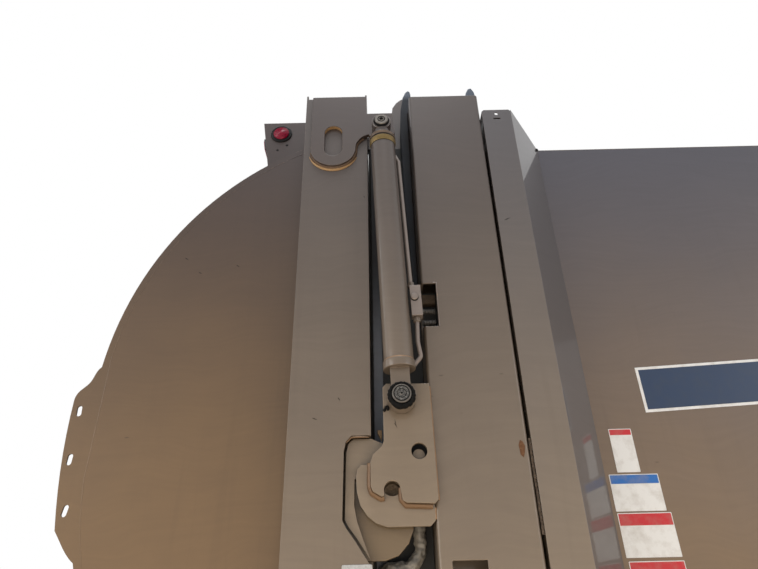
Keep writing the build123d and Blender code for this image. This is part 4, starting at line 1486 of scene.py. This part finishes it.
@dataclass
class TailgateShell(SubAssembly):
    """Domed sides and skin of the tailgate, with its box frame."""

    edge: float = 3 * MM
    lip: float = 20 * MM
    radius: float = 999 * MM
    rise: float = 78 * MM
    turn: float = 5.4
    middle: float = 1085 * MM
    depth: float = 573 * MM
    dirt_top: float = 1.12
    dirt_steps: int = 150
    plate: Triple = (71 * MM, 0.690, 0.440)
    rivets: Pair = (0.12, 0.88)

    def build(self) -> None:
        """Build the shell and its seams."""
        worn = Dress(PAINT, Body.GATE, Slot.PAINT)
        dome = Dress(DOME_PAINT, Body.GATE, Slot.PAINT)
        reskin("gate_side_right", "gate_side_skin", dome)
        reskin("gate_post_right", "gate_post_skin", worn, self.edge)
        for node in ("gate_header", "gate_sill"):
            reskin(node, f"{node}_skin", worn, self.edge)
        wear_node("rear_wrap", DOME_PAINT)
        seams = Shape()
        seams.bead(at(self.outline(self.lip), self.spots.dome_out - 1.2 * MM), 1.8 * MM, 7 * MM, 11)
        seams.place("dome_seam", dome)
        low, high = low_high("gate_side_right")
        post = [(self.spots.gate_rear, low.z + 20 * MM), (self.spots.gate_rear, high.z - 20 * MM)]
        joint = Shape().bead(at(post, self.spots.dome_out + 1 * MM), 3.2 * MM, 5 * MM, 12)
        joint.place("post_joint_weld", Dress(WELD_PAINT, Body.GATE, Slot.PAINT))
        self.build_joint_dirt()
        self.build_plate()

    def build_joint_dirt(self) -> None:
        """Build the dirt that gathers low down in the corner between dome and post."""
        foot = low_high("gate_side_right")[0].z + 30 * MM
        chance = random.Random(17)
        count = self.dirt_steps
        x = self.spots.gate_rear - 3.5 * MM
        path = [(x, foot + (self.dirt_top - foot) * i / count) for i in range(count + 1)]
        line = at(path, self.spots.dome_out + 1 * MM)
        shape = Shape().tube(line, 3.0 * MM, 6, lambda i: chance.uniform(0.6, 1.0) * (1 - 0.7 * i / count))
        shape.place("joint_dirt", Dress(SEAM_DIRT, Body.GATE, Slot.PAINT))

    def build_plate(self) -> None:
        """Build the blank pale plate low on the post's front edge."""
        width, top, foot = self.plate
        low = (self.spots.gate_front - width, foot)
        high = (self.spots.gate_front - 1 * MM, top)
        shape = Shape().slab(rounded(low, high, 3 * MM), self.spots.post_out + 1.5 * MM, 1.5 * MM, 0.3 * MM)
        middle = low[0] + (high[0] - low[0]) / 2
        for share in self.rivets:
            spot = Vector((middle, -self.spots.post_out, foot + (top - foot) * share))
            shape.lathe(in_mm((0, 0), (4.5, 0), (4, 3), (0, 3.6)), spot, OUT, 20)
        shape.place("blank_plate", Dress(GALVANISED, Body.GATE, Slot.PAINT))

    def outline(self, inset: float) -> list[Pair]:
        """Give the dome's outline, set in by an amount, from its top to its foot.

        Args:
            inset: How far it is set in.

        Returns:
            Points of the outline.
        """
        turn = math.radians(self.turn)
        dome_x = self.spots.gate_rear - self.depth
        middle_x = dome_x + self.radius + self.rise * math.tan(turn / 2)
        size = self.radius - inset
        first = math.degrees(math.acos((self.spots.gate_rear - middle_x) / size))
        upper = arc((middle_x, self.middle + self.rise), size, first, 180 - self.turn, 60)
        lower = [(x, 2 * self.middle - z) for x, z in reversed(upper)]
        return upper + lower


@dataclass
class Scuffs(SubAssembly):
    """Scratches and rubbed spots on the flat sides, in the side view."""

    plate: tuple[tuple[Pair, Pair], ...] = (
        ((-0.509, 1.023), (-0.504, 0.999)),
        ((-0.511, 1.014), (-0.502, 0.998)),
    )
    post: tuple[tuple[Pair, Pair], ...] = (
        ((-0.722, 1.034), (-0.708, 1.029)),
        ((-0.656, 1.088), (-0.650, 1.078)),
        ((-0.584, 1.756), (-0.579, 1.748)),
    )
    cover: tuple[tuple[Pair, Pair], ...] = (((-0.146, 1.648), (-0.124, 1.658)),)
    dome: tuple[tuple[Pair, Pair], ...] = (
        ((-1.166, 1.600), (-1.152, 1.590)),
        ((-1.114, 1.544), (-1.103, 1.538)),
        ((-0.997, 1.568), (-0.984, 1.560)),
    )
    rust: tuple[Pair, ...] = (
        (-0.197, 0.929),
        (-0.190, 0.922),
        (-0.186, 0.934),
        (-0.183, 0.951),
        (-0.188, 0.962),
        (-0.194, 0.966),
        (-0.199, 0.953),
    )

    def build(self) -> None:
        """Build the scratches of each face and the rusty patch on the body's post."""
        rows = (
            ("plate_scratches", self.plate, self.spots.plate_out, 1.4 * MM, Body.SECTION),
            ("cover_scratches", self.cover, self.spots.post_out, 3.0 * MM, Body.SECTION),
            ("post_scratches", self.post, self.spots.post_out, 2.6 * MM, Body.GATE),
            ("dome_scratches", self.dome, self.spots.dome_out, 3.0 * MM, Body.GATE),
        )
        for name, lines, out, width, body in rows:
            shape = Shape()
            for start, end in lines:
                shape.scratch(start, end, out, width)
            shape.place(name, Dress(DARK_SCORE, body, Slot.PAINT))
        patch = Shape().score(self.rust, self.spots.post_out)
        patch.place("rust_patch", Dress(RUST, Body.SECTION, Slot.PAINT))


@dataclass
class Ears(SubAssembly):
    """Shaped plates that the lift cylinders push on."""

    weld: float = 7 * MM
    lit_weld: float = 5.5 * MM
    lit_gap: float = 8 * MM
    lobe_back: float = 115 * MM
    lobe_drop: float = 74 * MM
    lobe_radius: float = 76 * MM
    step: float = 60 * MM
    slot_rise: float = 70 * MM
    slot_radius: float = 30 * MM
    lining: float = 0.6 * MM

    def build(self) -> None:
        """Build the ears, the welds under their lobes and the lining of their slots. The weld's dark brown
        is partly painted shade; the bead beside it and the slot lining wear a painted highlight.
        """
        reskin("gate_ear_right", "gate_ear_skin", Dress(PLATE_PAINT, Body.GATE, Slot.PAINT))
        middle = (self.spots.gate_front - self.lobe_back, self.spots.upper_pin[1] - self.lobe_drop)
        low = arc(middle, self.lobe_radius, 188, 360)
        bend = arc((middle[0] + self.lobe_radius + self.step, middle[1]), self.step, 180, 125, 10)
        # Dark brown fillet under the lobe: partly painted shade.
        line = at(low + bend, self.spots.post_out + 1 * MM)
        shape = Shape().bead(line, self.weld, seed=21, ripple=0.04, taper=0.5)
        shape.place("ear_weld", Dress(FILLET_PAINT, Body.GATE, Slot.PAINT))
        # An orange-gold bead just outside it: painted highlight of the weld lit from below.
        lit = at(arc(middle, self.lobe_radius + self.lit_gap, 198, 338, 40), self.spots.post_out)
        bead = Shape().bead(lit, self.lit_weld, seed=22, ripple=0.05, taper=0.75)
        bead.place("ear_lit_weld", Dress(HIGHLIGHT_PAINT, Body.GATE, Slot.PAINT))
        # Lining along each slot's upper edge: painted highlight.
        slot = (middle[0], middle[1] + self.slot_rise)
        deep, near = self.spots.post_out + 1 * MM, self.spots.plate_out - 2 * MM
        outer, inner = (arc(slot, r, 12, 168) for r in (self.slot_radius, self.slot_radius - self.lining))
        rows = [[*at([a], deep), *at([a, b], near), *at([b], deep)] for a, b in zip(outer, inner)]
        Shape().rings(rows).place("ear_slot_lining", Dress(HIGHLIGHT_PAINT, Body.GATE, Slot.PAINT))


@dataclass
class Hinges(SubAssembly):
    """Goosenecks, brackets and pins over the roof."""

    edge: float = 2 * MM

    def build(self) -> None:
        """Build the hinge pieces."""
        reskin("hinge_arm_right", "hinge_arm_skin", Dress(PAINT, Body.GATE, Slot.PAINT), self.edge)
        fixed = Dress(PAINT, Body.SECTION, Slot.PAINT)
        reskin("hinge_brackets", "hinge_bracket_skin", fixed, self.edge)
        wear_node("hinge_pins", PIN_STEEL)


@dataclass
class Lamps(SubAssembly):
    """Side markers, rear lamps and their boxes and panel."""

    grommet_radius: float = 40 * MM
    lens_radius: float = 29 * MM
    panel_radius: float = 50 * MM
    panel_outs: Triple = (900 * MM, 760 * MM, 620 * MM)
    panel_lean: float = 5.55
    box_lean: float = 8.0
    box_size: Pair = (84 * MM, 52 * MM)
    box_rim: float = 5 * MM
    bracket_drop: float = 108 * MM
    grommet_height: float = 5 * MM
    lens_steps: int = 6
    plugs: tuple[Pair, ...] = ((24 * MM, -56 * MM), (-10 * MM, -79 * MM))

    def build(self) -> None:
        """Build every lamp."""
        worn = Dress(DOME_PAINT, Body.GATE, Slot.PAINT)
        reskin("lamp_box_right", "lamp_box_skin", worn)
        reskin("lamp_panel", "lamp_panel_skin", worn, 1.2 * MM)
        self.build_markers()
        self.build_box_lamps()
        self.build_panel_lamps()
        self.build_box_holes()

    def lens_profile(self, radius: float, base: float, rise: float) -> list[Pair]:
        """Give the profile of a round lens with ringed steps.

        Args:
            radius: Its radius.
            base: Height of its straight side.
            rise: How much its middle stands over that.

        Returns:
            Radius and height of each ring.
        """
        profile = [(0.0, 0.0), (radius, 0.0), (radius, base - 2 * MM), (radius - 1.5 * MM, base)]
        for i in range(self.lens_steps):
            ring = radius * (0.86 - 0.14 * i)
            height = base + rise * (1 - (ring / radius) ** 2)
            profile += [(ring + 1.4 * MM, height), (ring, height - 0.9 * MM)]
        profile.append((0.0, base + rise))
        return profile

    def marker_spot(self) -> Vector:
        """Return the place on the lamp box that the right marker's grommet lies on."""
        low, high = low_high("marker_grommets")
        return Vector(((low.x + high.x) / 2, low.y + self.grommet_height, (low.z + high.z) / 2))

    def build_markers(self) -> None:
        """Build the round side markers in their rubber grommets."""
        spot = self.marker_spot()
        outer, inner = self.grommet_radius, self.lens_radius
        grommet = [
            (inner - 1 * MM, 0.0),
            (outer, 0.0),
            (outer, 2.5 * MM),
            (outer - 2 * MM, 4.6 * MM),
            (outer - 5 * MM, 5.0 * MM),
            (inner + 4 * MM, 4.0 * MM),
            (inner + 1.5 * MM, 5.0 * MM),
            (inner - 1 * MM, 4.0 * MM),
        ]
        ring = Shape().lathe(grommet, spot, OUT, 64)
        ring.place("marker_grommet", Dress(LAMP_RUBBER, Body.GATE, Slot.RUBBER))
        lens = self.lens_profile(inner, 9 * MM, 4.6 * MM)
        Shape().lathe(lens, spot, OUT, 64).place("marker_lens", Dress(LENS, Body.GATE, Slot.LENS))
        hide_behind("marker_grommets")
        hide_behind("marker_lenses")

    def build_box_lamps(self) -> None:
        """Build the lamps on the rear faces of the boxes: a lens in a dark frame on a bracket."""
        low, high = low_high("box_lamps")
        lean = math.radians(self.box_lean)
        up = Vector((-math.sin(lean), 0, math.cos(lean)))
        out = OUT.cross(up)
        outer = low_high("lamp_box_right")
        middle_y = (outer[0].y + outer[1].y) / 2
        middle_z = (low.z + high.z) / 2
        wide, tall = self.box_size[0] / 2, self.box_size[1] / 2
        face = Vector((low.x + 9 * MM * math.cos(lean) + tall * math.sin(lean), middle_y, middle_z))
        rim = Shape().panel(rounded((-wide, -tall), (wide, tall), 5 * MM), face, OUT, up, 5.5 * MM)
        rim.place("box_lamp_frame", Dress(HOUSING, Body.GATE, Slot.HOUSING))
        wide, tall = wide - self.box_rim, tall - self.box_rim
        glass = rounded((-wide, -tall), (wide, tall), 4 * MM)
        lens = Shape().panel(glass, face + out * 5 * MM, OUT, up, 3.2 * MM, 1.2 * MM)
        lens.place("box_lamp_lens", Dress(LENS, Body.GATE, Slot.LENS))
        hide_behind("box_lamps")
        hide_behind("box_lamps")
        foot = face - up * self.bracket_drop
        low_corner, high_corner = in_mm((-16, -6), (16, 6))
        bracket = Shape().panel(rounded(low_corner, high_corner, 1.5 * MM), foot, OUT, up, 7 * MM)
        bracket.place("box_bracket", Dress(HOUSING, Body.GATE, Slot.HOUSING))

    def build_panel_lamps(self) -> None:
        """Build the round lamps on the panel across the dome."""
        low, high = low_high("panel_lamps")
        lean = math.radians(self.panel_lean)
        out = Vector((-math.cos(lean), 0, -math.sin(lean)))
        middle = Vector(((low.x + high.x) / 2, 0, (low.z + high.z) / 2)) - out * 6 * MM
        rim = self.panel_radius
        inner = rim - 8 * MM
        ring = [(inner, 0), (rim, 0), (rim, 3 * MM), (rim - 2 * MM, 5 * MM), (inner, 5 * MM)]
        rings = Shape()
        lenses = Shape()
        for side in self.panel_outs:
            spot = middle + Vector((0, -side, 0))
            rings.lathe(ring, spot, out, 64)
            lenses.lathe(self.lens_profile(rim - 7 * MM, 7 * MM, 4.4 * MM), spot, out, 64)
        rings.place("panel_lamp_ring", Dress(LAMP_RUBBER, Body.GATE, Slot.RUBBER))
        lenses.place("panel_lamp_lens", Dress(LENS, Body.GATE, Slot.LENS))
        hide_behind("panel_lamps")
        hide_behind("panel_lamps")

    def build_box_holes(self) -> None:
        """Build the two small plugged holes below the side marker."""
        middle = self.marker_spot()
        plugs = Shape()
        for back, drop in self.plugs:
            spot = middle + Vector((back, 0, drop))
            plugs.lathe(in_mm((0, 0), (4.6, 0), (4.2, 0.5), (0, 0.5)), spot, OUT, 20)
        plugs.place("box_hole_plugs", Dress(GREASE, Body.GATE, Slot.RUBBER))


@dataclass
class LiftCylinders(SubAssembly):
    """Lift cylinders, one on each side, with their pins, pipes and glands."""

    upper_eye: float = 32 * MM
    barrel: float = 40 * MM
    collar: float = 43 * MM
    rod: float = 20 * MM
    rod_length: float = 700 * MM
    gland_ring: float = 12 * MM
    glands: Pair = (865 * MM, 883 * MM)
    eye_half: float = 22 * MM
    pin_head: float = 22 * MM
    gland_taper: float = 8 * MM
    neck: Pair = (901 * MM, 930 * MM)
    head_thick: float = 10 * MM
    block_side: float = 60 * MM
    block_ends: Pair = (225 * MM, 320 * MM)
    block_half: float = 15 * MM
    collar_top: float = 96 * MM
    grease_spread: float = 28.0
    grease_steps: int = 72
    lump: Pair = (39 * MM, 22 * MM)
    turned_head: tuple[Pair, ...] = ((13, 0), (12.4, 1.2), (9.6, 1.2), (9, 0), (7, 0), (6, 3), (0, 3))
    turned_face: tuple[Pair, ...] = (
        (0, -1),
        (19, -1),
        (19, 0.5),
        (18, 1.2),
        (12, 1.2),
        (11, 0.4),
        (6, 0.4),
        (5, 1.8),
        (3, 1.8),
        (2, 0.2),
        (0, 0.2),
    )
    nuts: tuple[Triple, ...] = ((210 * MM, 11 * MM, 58 * MM), (319 * MM, 10 * MM, 50 * MM))

    def build(self) -> None:
        """Build both cylinders."""
        reskin("lift_barrel_right", "barrel_skin", Dress(PAINT, Body.BARREL, Slot.PAINT))
        reskin("pipe_block_right", "pipe_block_skin", Dress(BLOCK_PAINT, Body.BARREL, Slot.PAINT))
        for side in ("right", "left"):
            wear_node(f"oil_pipe_{side}", BLOCK_PAINT)
        wear_node("lower_pins", PIN_STEEL)
        wear_node("lock_pins", PIN_GRIT)
        self.build_glands()
        self.build_rod()
        self.build_pin_faces()
        self.build_pipe_fittings()

    def on_line(self, pin: Pair) -> Vector:
        """Place a pin of the side view on the right cylinder's middle line."""
        out = -(low_high("lift_rod_right")[0].y + self.head_thick + self.eye_half)
        return at([pin], out)[0]

    @property
    def start(self) -> Vector:
        """Middle of the right lower pin, where the cylinder's line starts."""
        return self.on_line(self.spots.lower_pin)

    @property
    def eye(self) -> Vector:
        """Middle of the right upper pin, where the cylinder's line ends."""
        return self.on_line(self.spots.upper_pin)

    @property
    def way(self) -> Vector:
        """Direction from the lower pin to the upper one."""
        return (self.eye - self.start).normalized()

    def build_glands(self) -> None:
        """Build the plated rings of the gland and the dark grooves beside them."""
        start, way = self.start, self.way
        inner, proud = self.barrel - 1 * MM, self.barrel + 0.5 * MM
        rise = self.collar + 0.3 * MM
        height = self.gland_ring
        upper = [
            (inner, 0.6 * MM),
            (self.collar - 1.2 * MM, 0.6 * MM),
            (rise, 2.2 * MM),
            (rise, 5 * MM),
            (rise - 1.1 * MM, 6 * MM),
            (rise, 7 * MM),
            (rise, height - 2.2 * MM),
            (self.collar - 1.2 * MM, height - 0.6 * MM),
            (inner, height - 0.6 * MM),
        ]
        # The upper ring wears the browner copy of the zinc plate: painted shade.
        ring = Shape().lathe(upper, start + way * self.glands[1], way, 72)
        ring.place("gland_ring", Dress(SHADED_ZINC, Body.BARREL, Slot.PAINT))
        lower = [
            (inner, -self.gland_taper),
            (proud, -self.gland_taper),
            (rise, 2 * MM),
            (rise, height - 1.5 * MM),
            (self.collar - 1 * MM, height),
            (inner, height),
        ]
        cone = Shape().lathe(lower, start + way * self.glands[0], way, 72)
        cone.place("gland_cone", Dress(YELLOW_ZINC, Body.BARREL, Slot.PAINT))
        dark = Shape()
        below = self.glands[0] - self.gland_taper
        for along, width in ((below - 2 * MM, 2 * MM), (self.glands[0] + height, 6 * MM)):
            profile = [(inner, 0), (proud, 0), (proud, width), (inner, width)]
            dark.lathe(profile, start + way * along, way, 72)
        dark.place("gland_grooves", Dress(GREASE, Body.BARREL, Slot.RUBBER))
        bead = [(inner, 0), (self.barrel + 1.6 * MM, 0), (self.barrel + 0.4 * MM, 4 * MM), (inner, 4 * MM)]
        foot = Shape().lathe(bead, start + way * self.collar_top, way, 72)
        foot.place("collar_weld", Dress(WELD_PAINT, Body.BARREL, Slot.PAINT))

    def build_rod(self) -> None:
        """Build the chromed rod, its painted eye and the head of the upper pin."""
        start, way = self.start, self.way
        closed = (self.eye - start).length
        top = closed - self.upper_eye / 2
        foot = top - self.rod_length
        r = self.rod
        profile = [(0, foot), (r - 2 * MM, foot), (r, foot + 2 * MM), (r, top), (0, top)]
        self.place_rod_piece("rod_shaft", Dress(CHROME, Body.ROD, Slot.CHROME), profile, start, way, 48)
        eye = start + way * closed
        worn = Dress(PAINT, Body.ROD, Slot.PAINT)
        low, high = self.neck
        profile = [(0, low), (22 * MM, low), (24 * MM, low + 2 * MM), (24 * MM, high), (0, high)]
        self.place_rod_piece("rod_neck", worn, profile, start, way, 48)
        half, ring = self.eye_half, self.upper_eye
        profile = [(0, -half), (ring - 2 * MM, -half), (ring, -half + 2 * MM), (ring, half - 2 * MM)]
        profile += [(ring - 2 * MM, half), (0, half)]
        self.place_rod_piece("rod_eye", worn, profile, eye, OUT, 64)
        head = self.pin_head
        thick = half + self.head_thick
        profile = [(0, half), (head, half), (head, thick - 2 * MM), (head - 2 * MM, thick)]
        profile += [(radius * MM, thick - depth * MM) for radius, depth in self.turned_head]
        self.place_rod_piece("upper_pin_head", Dress(PIN_STEEL, Body.ROD, Slot.PIN), profile, eye, OUT, 64)
        nipple = in_mm((0, -3), (4.5, -3), (4.5, 1), (2.4, 2), (2.4, 6), (0, 7))
        grease = Shape().lathe(nipple, eye + OUT * (thick - 3 * MM) + UP * 4 * MM, OUT, 20)
        smear = [(head - 1 * MM, 0), (head + 4.5 * MM, 0), (head + 3 * MM, 3 * MM), (head - 1 * MM, 5 * MM)]
        grease.lathe(smear, eye + OUT * half, OUT, 48)
        grease.lathe(self.loose_ring(9.2 * MM, 12.8 * MM, thick - 1.4 * MM), eye, OUT, 48, True)
        grease.place("upper_pin_grease", Dress(GREASE, Body.ROD, Slot.RUBBER))

    def place_rod_piece(
        self, name: str, dress: Dress, profile: Sequence[Pair], origin: Vector, axis: Vector, steps: int
    ) -> None:
        """Turn a profile round an axis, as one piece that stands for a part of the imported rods."""
        Shape().lathe(profile, origin, axis, steps).place(name, dress, replaced=["lift_rod"])

    def loose_ring(self, inner: float, outer: float, base: float) -> list[Pair]:
        """Give the profile of a flat ring of grease, from its radii and the place that it lies at."""
        return [(inner, base), (outer, base), (outer, base + 0.9 * MM), (inner, base + 0.9 * MM)]

    def build_pin_faces(self) -> None:
        """Build the turned face of each lower pin and the grease pressed out round it."""
        start = self.start
        face = Vector((start.x, start.y - self.eye_half - 1 * MM - self.head_thick, start.z))
        turned = Shape().lathe(in_mm(*self.turned_face), face, OUT, 56)
        turned.place("lower_pin_face", Dress(GREASY_STEEL, Body.SECTION, Slot.PIN))
        chance = random.Random(31)
        path = []
        swell = []
        for i in range(self.grease_steps):
            angle = 2 * math.pi * i / self.grease_steps
            low = 0.5 - 0.5 * math.sin(angle)
            spread = (self.grease_spread + 2 * low) * MM
            swell.append(chance.uniform(0.82, 1.1) * (0.85 + 0.3 * low))
            path.append((start.x + spread * math.cos(angle), start.z + spread * math.sin(angle)))
        line = at(path, -(start.y - self.eye_half))
        grease = Shape().tube(line, 7.4 * MM, 12, lambda i: swell[i], closed=True)
        grease.lathe(self.loose_ring(10.6 * MM, 12.2 * MM, 0.7 * MM), face, OUT, 48, True)
        grease.lathe(self.loose_ring(18.0 * MM, 20.5 * MM, 0.8 * MM), face, OUT, 48, True)
        grease.lathe(in_mm((0, 1), (2.6, 1), (2, 2), (0, 2)), face, OUT, 20)
        lump = Vector((start.x - self.lump[0], -self.spots.plate_out - 1 * MM, start.z - self.lump[1]))
        for _ in range(9):
            spot = lump + Vector((chance.uniform(-7, 7) * MM, 0, chance.uniform(-5, 7) * MM))
            size = chance.uniform(2.2, 4.6) * MM
            grease.lathe([(0, 0), (size, 0), (size * 0.7, size * 0.5), (0, size * 0.7)], spot, OUT, 12)
        grease.place("lower_pin_grease", Dress(GREASE, Body.SECTION, Slot.RUBBER))

    def build_pipe_fittings(self) -> None:
        """Build the nuts and the round bolt head on each pipe block, with a dark disc behind the bolt head
        that is its painted shadow.
        """
        start, way = self.start, self.way
        side = Vector((way.z, 0, -way.x))
        nuts = Shape()
        for along, size, across in self.nuts:
            chamfer = size * 0.88
            profile = [(0, 0), (chamfer, 0), (size, 1.5 * MM)]
            profile += [(size, 14 * MM), (chamfer, 16 * MM), (0, 16 * MM)]
            nuts.lathe(profile, start + way * along + side * across, way, 6)
        nuts.place("pipe_nuts", Dress(PAINT, Body.BARREL, Slot.PAINT))
        middle = sum(self.block_ends) / 2
        spot = start + way * (middle + 10 * MM) + side * (self.block_side - 4 * MM) + OUT * self.block_half
        head = in_mm((0, -1), (10.5, -1), (10.5, 3), (8, 5.5), (4, 6), (0, 6))
        bolt = Shape().lathe(head, spot, OUT, 36)
        bolt.place("block_bolt", Dress(BLOCK_PAINT, Body.BARREL, Slot.PAINT))
        # Dark disc just behind the bolt head, set a little lower down the axis: painted shadow.
        shade = in_mm((0, -0.5), (11.5, -0.5), (11.5, 0.6), (0, 0.8))
        dark = Shape().lathe(shade, spot - way * 2 * MM, OUT, 36)
        dark.place("block_bolt_shadow", Dress(GREASE, Body.BARREL, Slot.RUBBER))


def wear_node(name: str, finish: Finish) -> None:
    """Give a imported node, kept as it is, a better finish.

    Args:
        name: The node's name.
        finish: The finish that it wears.
    """
    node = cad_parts[name]
    node.data.materials.clear()
    node.data.materials.append(finish.material())
    log.info("%s: kept with %s", name, finish.name)


def hide_behind(node: str) -> None:
    """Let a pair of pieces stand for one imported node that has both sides."""
    for side in ("right", "left"):
        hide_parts(node)


def seen_directly(sheet: NodeSheet) -> bpy.types.NodeSocket:
    """Tell the rays that come from the eye, from a mirror or through glass from all others.

    Args:
        sheet: The node sheet to add the nodes to.

    Returns:
        A socket that is 1 for these rays and 0 for the others.
    """
    path = sheet.add("ShaderNodeLightPath")
    seen = sheet.math("MAXIMUM", path.outputs["Is Camera Ray"], path.outputs["Is Transmission Ray"])
    return sheet.math("MAXIMUM", seen, path.outputs["Is Glossy Ray"])


@dataclass
class Studio:
    """Camera, floor, soft lamps and the pale surroundings."""

    eye: Triple = (-0.541, -2.670, 0.600)
    pitch: float = 29.7
    roll: float = 1.3
    focal: float = 570.0
    frame_width: float = 758.0
    sensor: float = 36.0
    floor_size: float = 60.0
    floor_fade: Pair = (2.8, 7.5)

    def build(self) -> None:
        """Set up the whole studio."""
        self.build_camera()
        self.build_floor()
        self.build_world()
        self.build_lamps()
        bpy.context.scene.view_settings.view_transform = "Standard"

    def build_camera(self) -> None:
        """Place the camera at the photograph's viewing angle."""
        data = bpy.data.cameras.new("camera")
        data.sensor_width = self.sensor
        data.lens = self.sensor * self.focal / self.frame_width
        data.clip_start = 0.05
        data.clip_end = 200.0
        camera = bpy.data.objects.new("camera", data)
        pitch = Matrix.Rotation(math.radians(90 + self.pitch), 4, "X")
        roll = Matrix.Rotation(math.radians(-self.roll), 4, "Z")
        camera.matrix_world = Matrix.Translation(self.eye) @ (pitch @ roll)
        bpy.context.scene.collection.objects.link(camera)
        bpy.context.scene.camera = camera

    def build_floor(self) -> None:
        """Lay a wide pale floor that takes the paleness of the surroundings away from the truck."""
        half = self.floor_size / 2
        mesh = bpy.data.meshes.new("floor")
        corners = [(-half, -half, 0), (half, -half, 0), (half, half, 0), (-half, half, 0)]
        mesh.from_pydata(corners, [], [(0, 1, 2, 3)])
        floor = bpy.data.objects.new("floor", mesh)
        material, sheet, shader, place = start_material("pale_floor")
        away = sheet.add("ShaderNodeVectorMath", {0: place}, {"operation": "LENGTH"}).outputs["Value"]
        fade = sheet.math("MULTIPLY", sheet.remap(away, self.floor_fade), seen_directly(sheet))
        sheet.feed(shader.inputs["Base Color"], sheet.mix(fade, (0.72, 0.71, 0.69), (0.0, 0.0, 0.0)))
        sheet.feed(shader.inputs["Roughness"], 0.8)
        sheet.feed(shader.inputs["Specular IOR Level"], 0.0)
        sheet.feed(shader.inputs["Emission Color"], (1.0, 1.0, 1.0))
        sheet.feed(shader.inputs["Emission Strength"], fade)
        mesh.materials.append(material)
        bpy.context.scene.collection.objects.link(floor)

    def build_world(self) -> None:
        """Make the surroundings white to the eye and in reflections, and softer as a light."""
        world = bpy.data.worlds.new("surroundings")
        world.use_nodes = True
        sheet = NodeSheet(world.node_tree)
        back = world.node_tree.nodes["Background"]
        seen = seen_directly(sheet)
        sheet.feed(back.inputs["Color"], sheet.mix(seen, (0.80, 0.88, 1.0), (1.0, 1.0, 1.0)))
        sheet.feed(back.inputs["Strength"], sheet.remap(seen, (0.0, 1.0), (0.38, 1.0)))
        bpy.context.scene.world = world

    def build_lamps(self) -> None:
        """Hang the soft lamps, clear of the flat sides' reflections: cool above, warm near the ground."""
        rows = (
            ("sky_light", (-0.6, -2.4, 7.2), (-0.3, -1.2, 1.3), 2.6, 190.0, (0.96, 0.98, 1.0)),
            ("rear_side_light", (-5.2, -4.0, 1.9), (-0.4, -1.2, 1.2), 2.6, 92.0, (1.0, 0.97, 0.93)),
            ("front_side_light", (4.6, -4.2, 2.2), (-0.2, -1.2, 1.2), 2.6, 48.0, (0.98, 0.98, 1.0)),
            ("ground_glow", (-0.2, -3.1, 0.02), (-0.2, -3.1, 1.0), 3.4, 52.0, (1.0, 0.78, 0.52)),
            ("far_light", (1.5, 4.8, 3.4), (0.0, 0.0, 1.2), 3.5, 120.0, (0.97, 0.98, 1.0)),
            ("rear_light", (-5.2, 0.8, 3.0), (-1.0, 0.0, 1.2), 3.0, 80.0, (1.0, 0.98, 0.96)),
        )
        for name, spot, aim, size, power, color in rows:
            data = bpy.data.lights.new(name, "AREA")
            data.shape = "SQUARE"
            data.size = size
            data.energy = power
            data.color = color
            lamp = bpy.data.objects.new(name, data)
            way = (Vector(aim) - Vector(spot)).normalized()
            lamp.matrix_world = Matrix.Translation(spot) @ way.to_track_quat("-Z", "Y").to_matrix().to_4x4()
            lamp.visible_camera = False
            bpy.context.scene.collection.objects.link(lamp)


def main() -> None:
    """Build every sub-assembly in order."""
    logging.basicConfig(level=logging.INFO, format="%(message)s")
    spots = Stations()
    Studio().build()
    groups = (
        BodyShell(spots),
        WallFilms(spots),
        RearPosts(spots),
        LockPlates(spots),
        TailgateShell(spots),
        Scuffs(spots),
        Ears(spots),
        Hinges(spots),
        Lamps(spots),
        LiftCylinders(spots),
    )
    for group in groups:
        group.build()
        log.info("%s done", type(group).__name__)


if __name__ == "__main__":
    main()
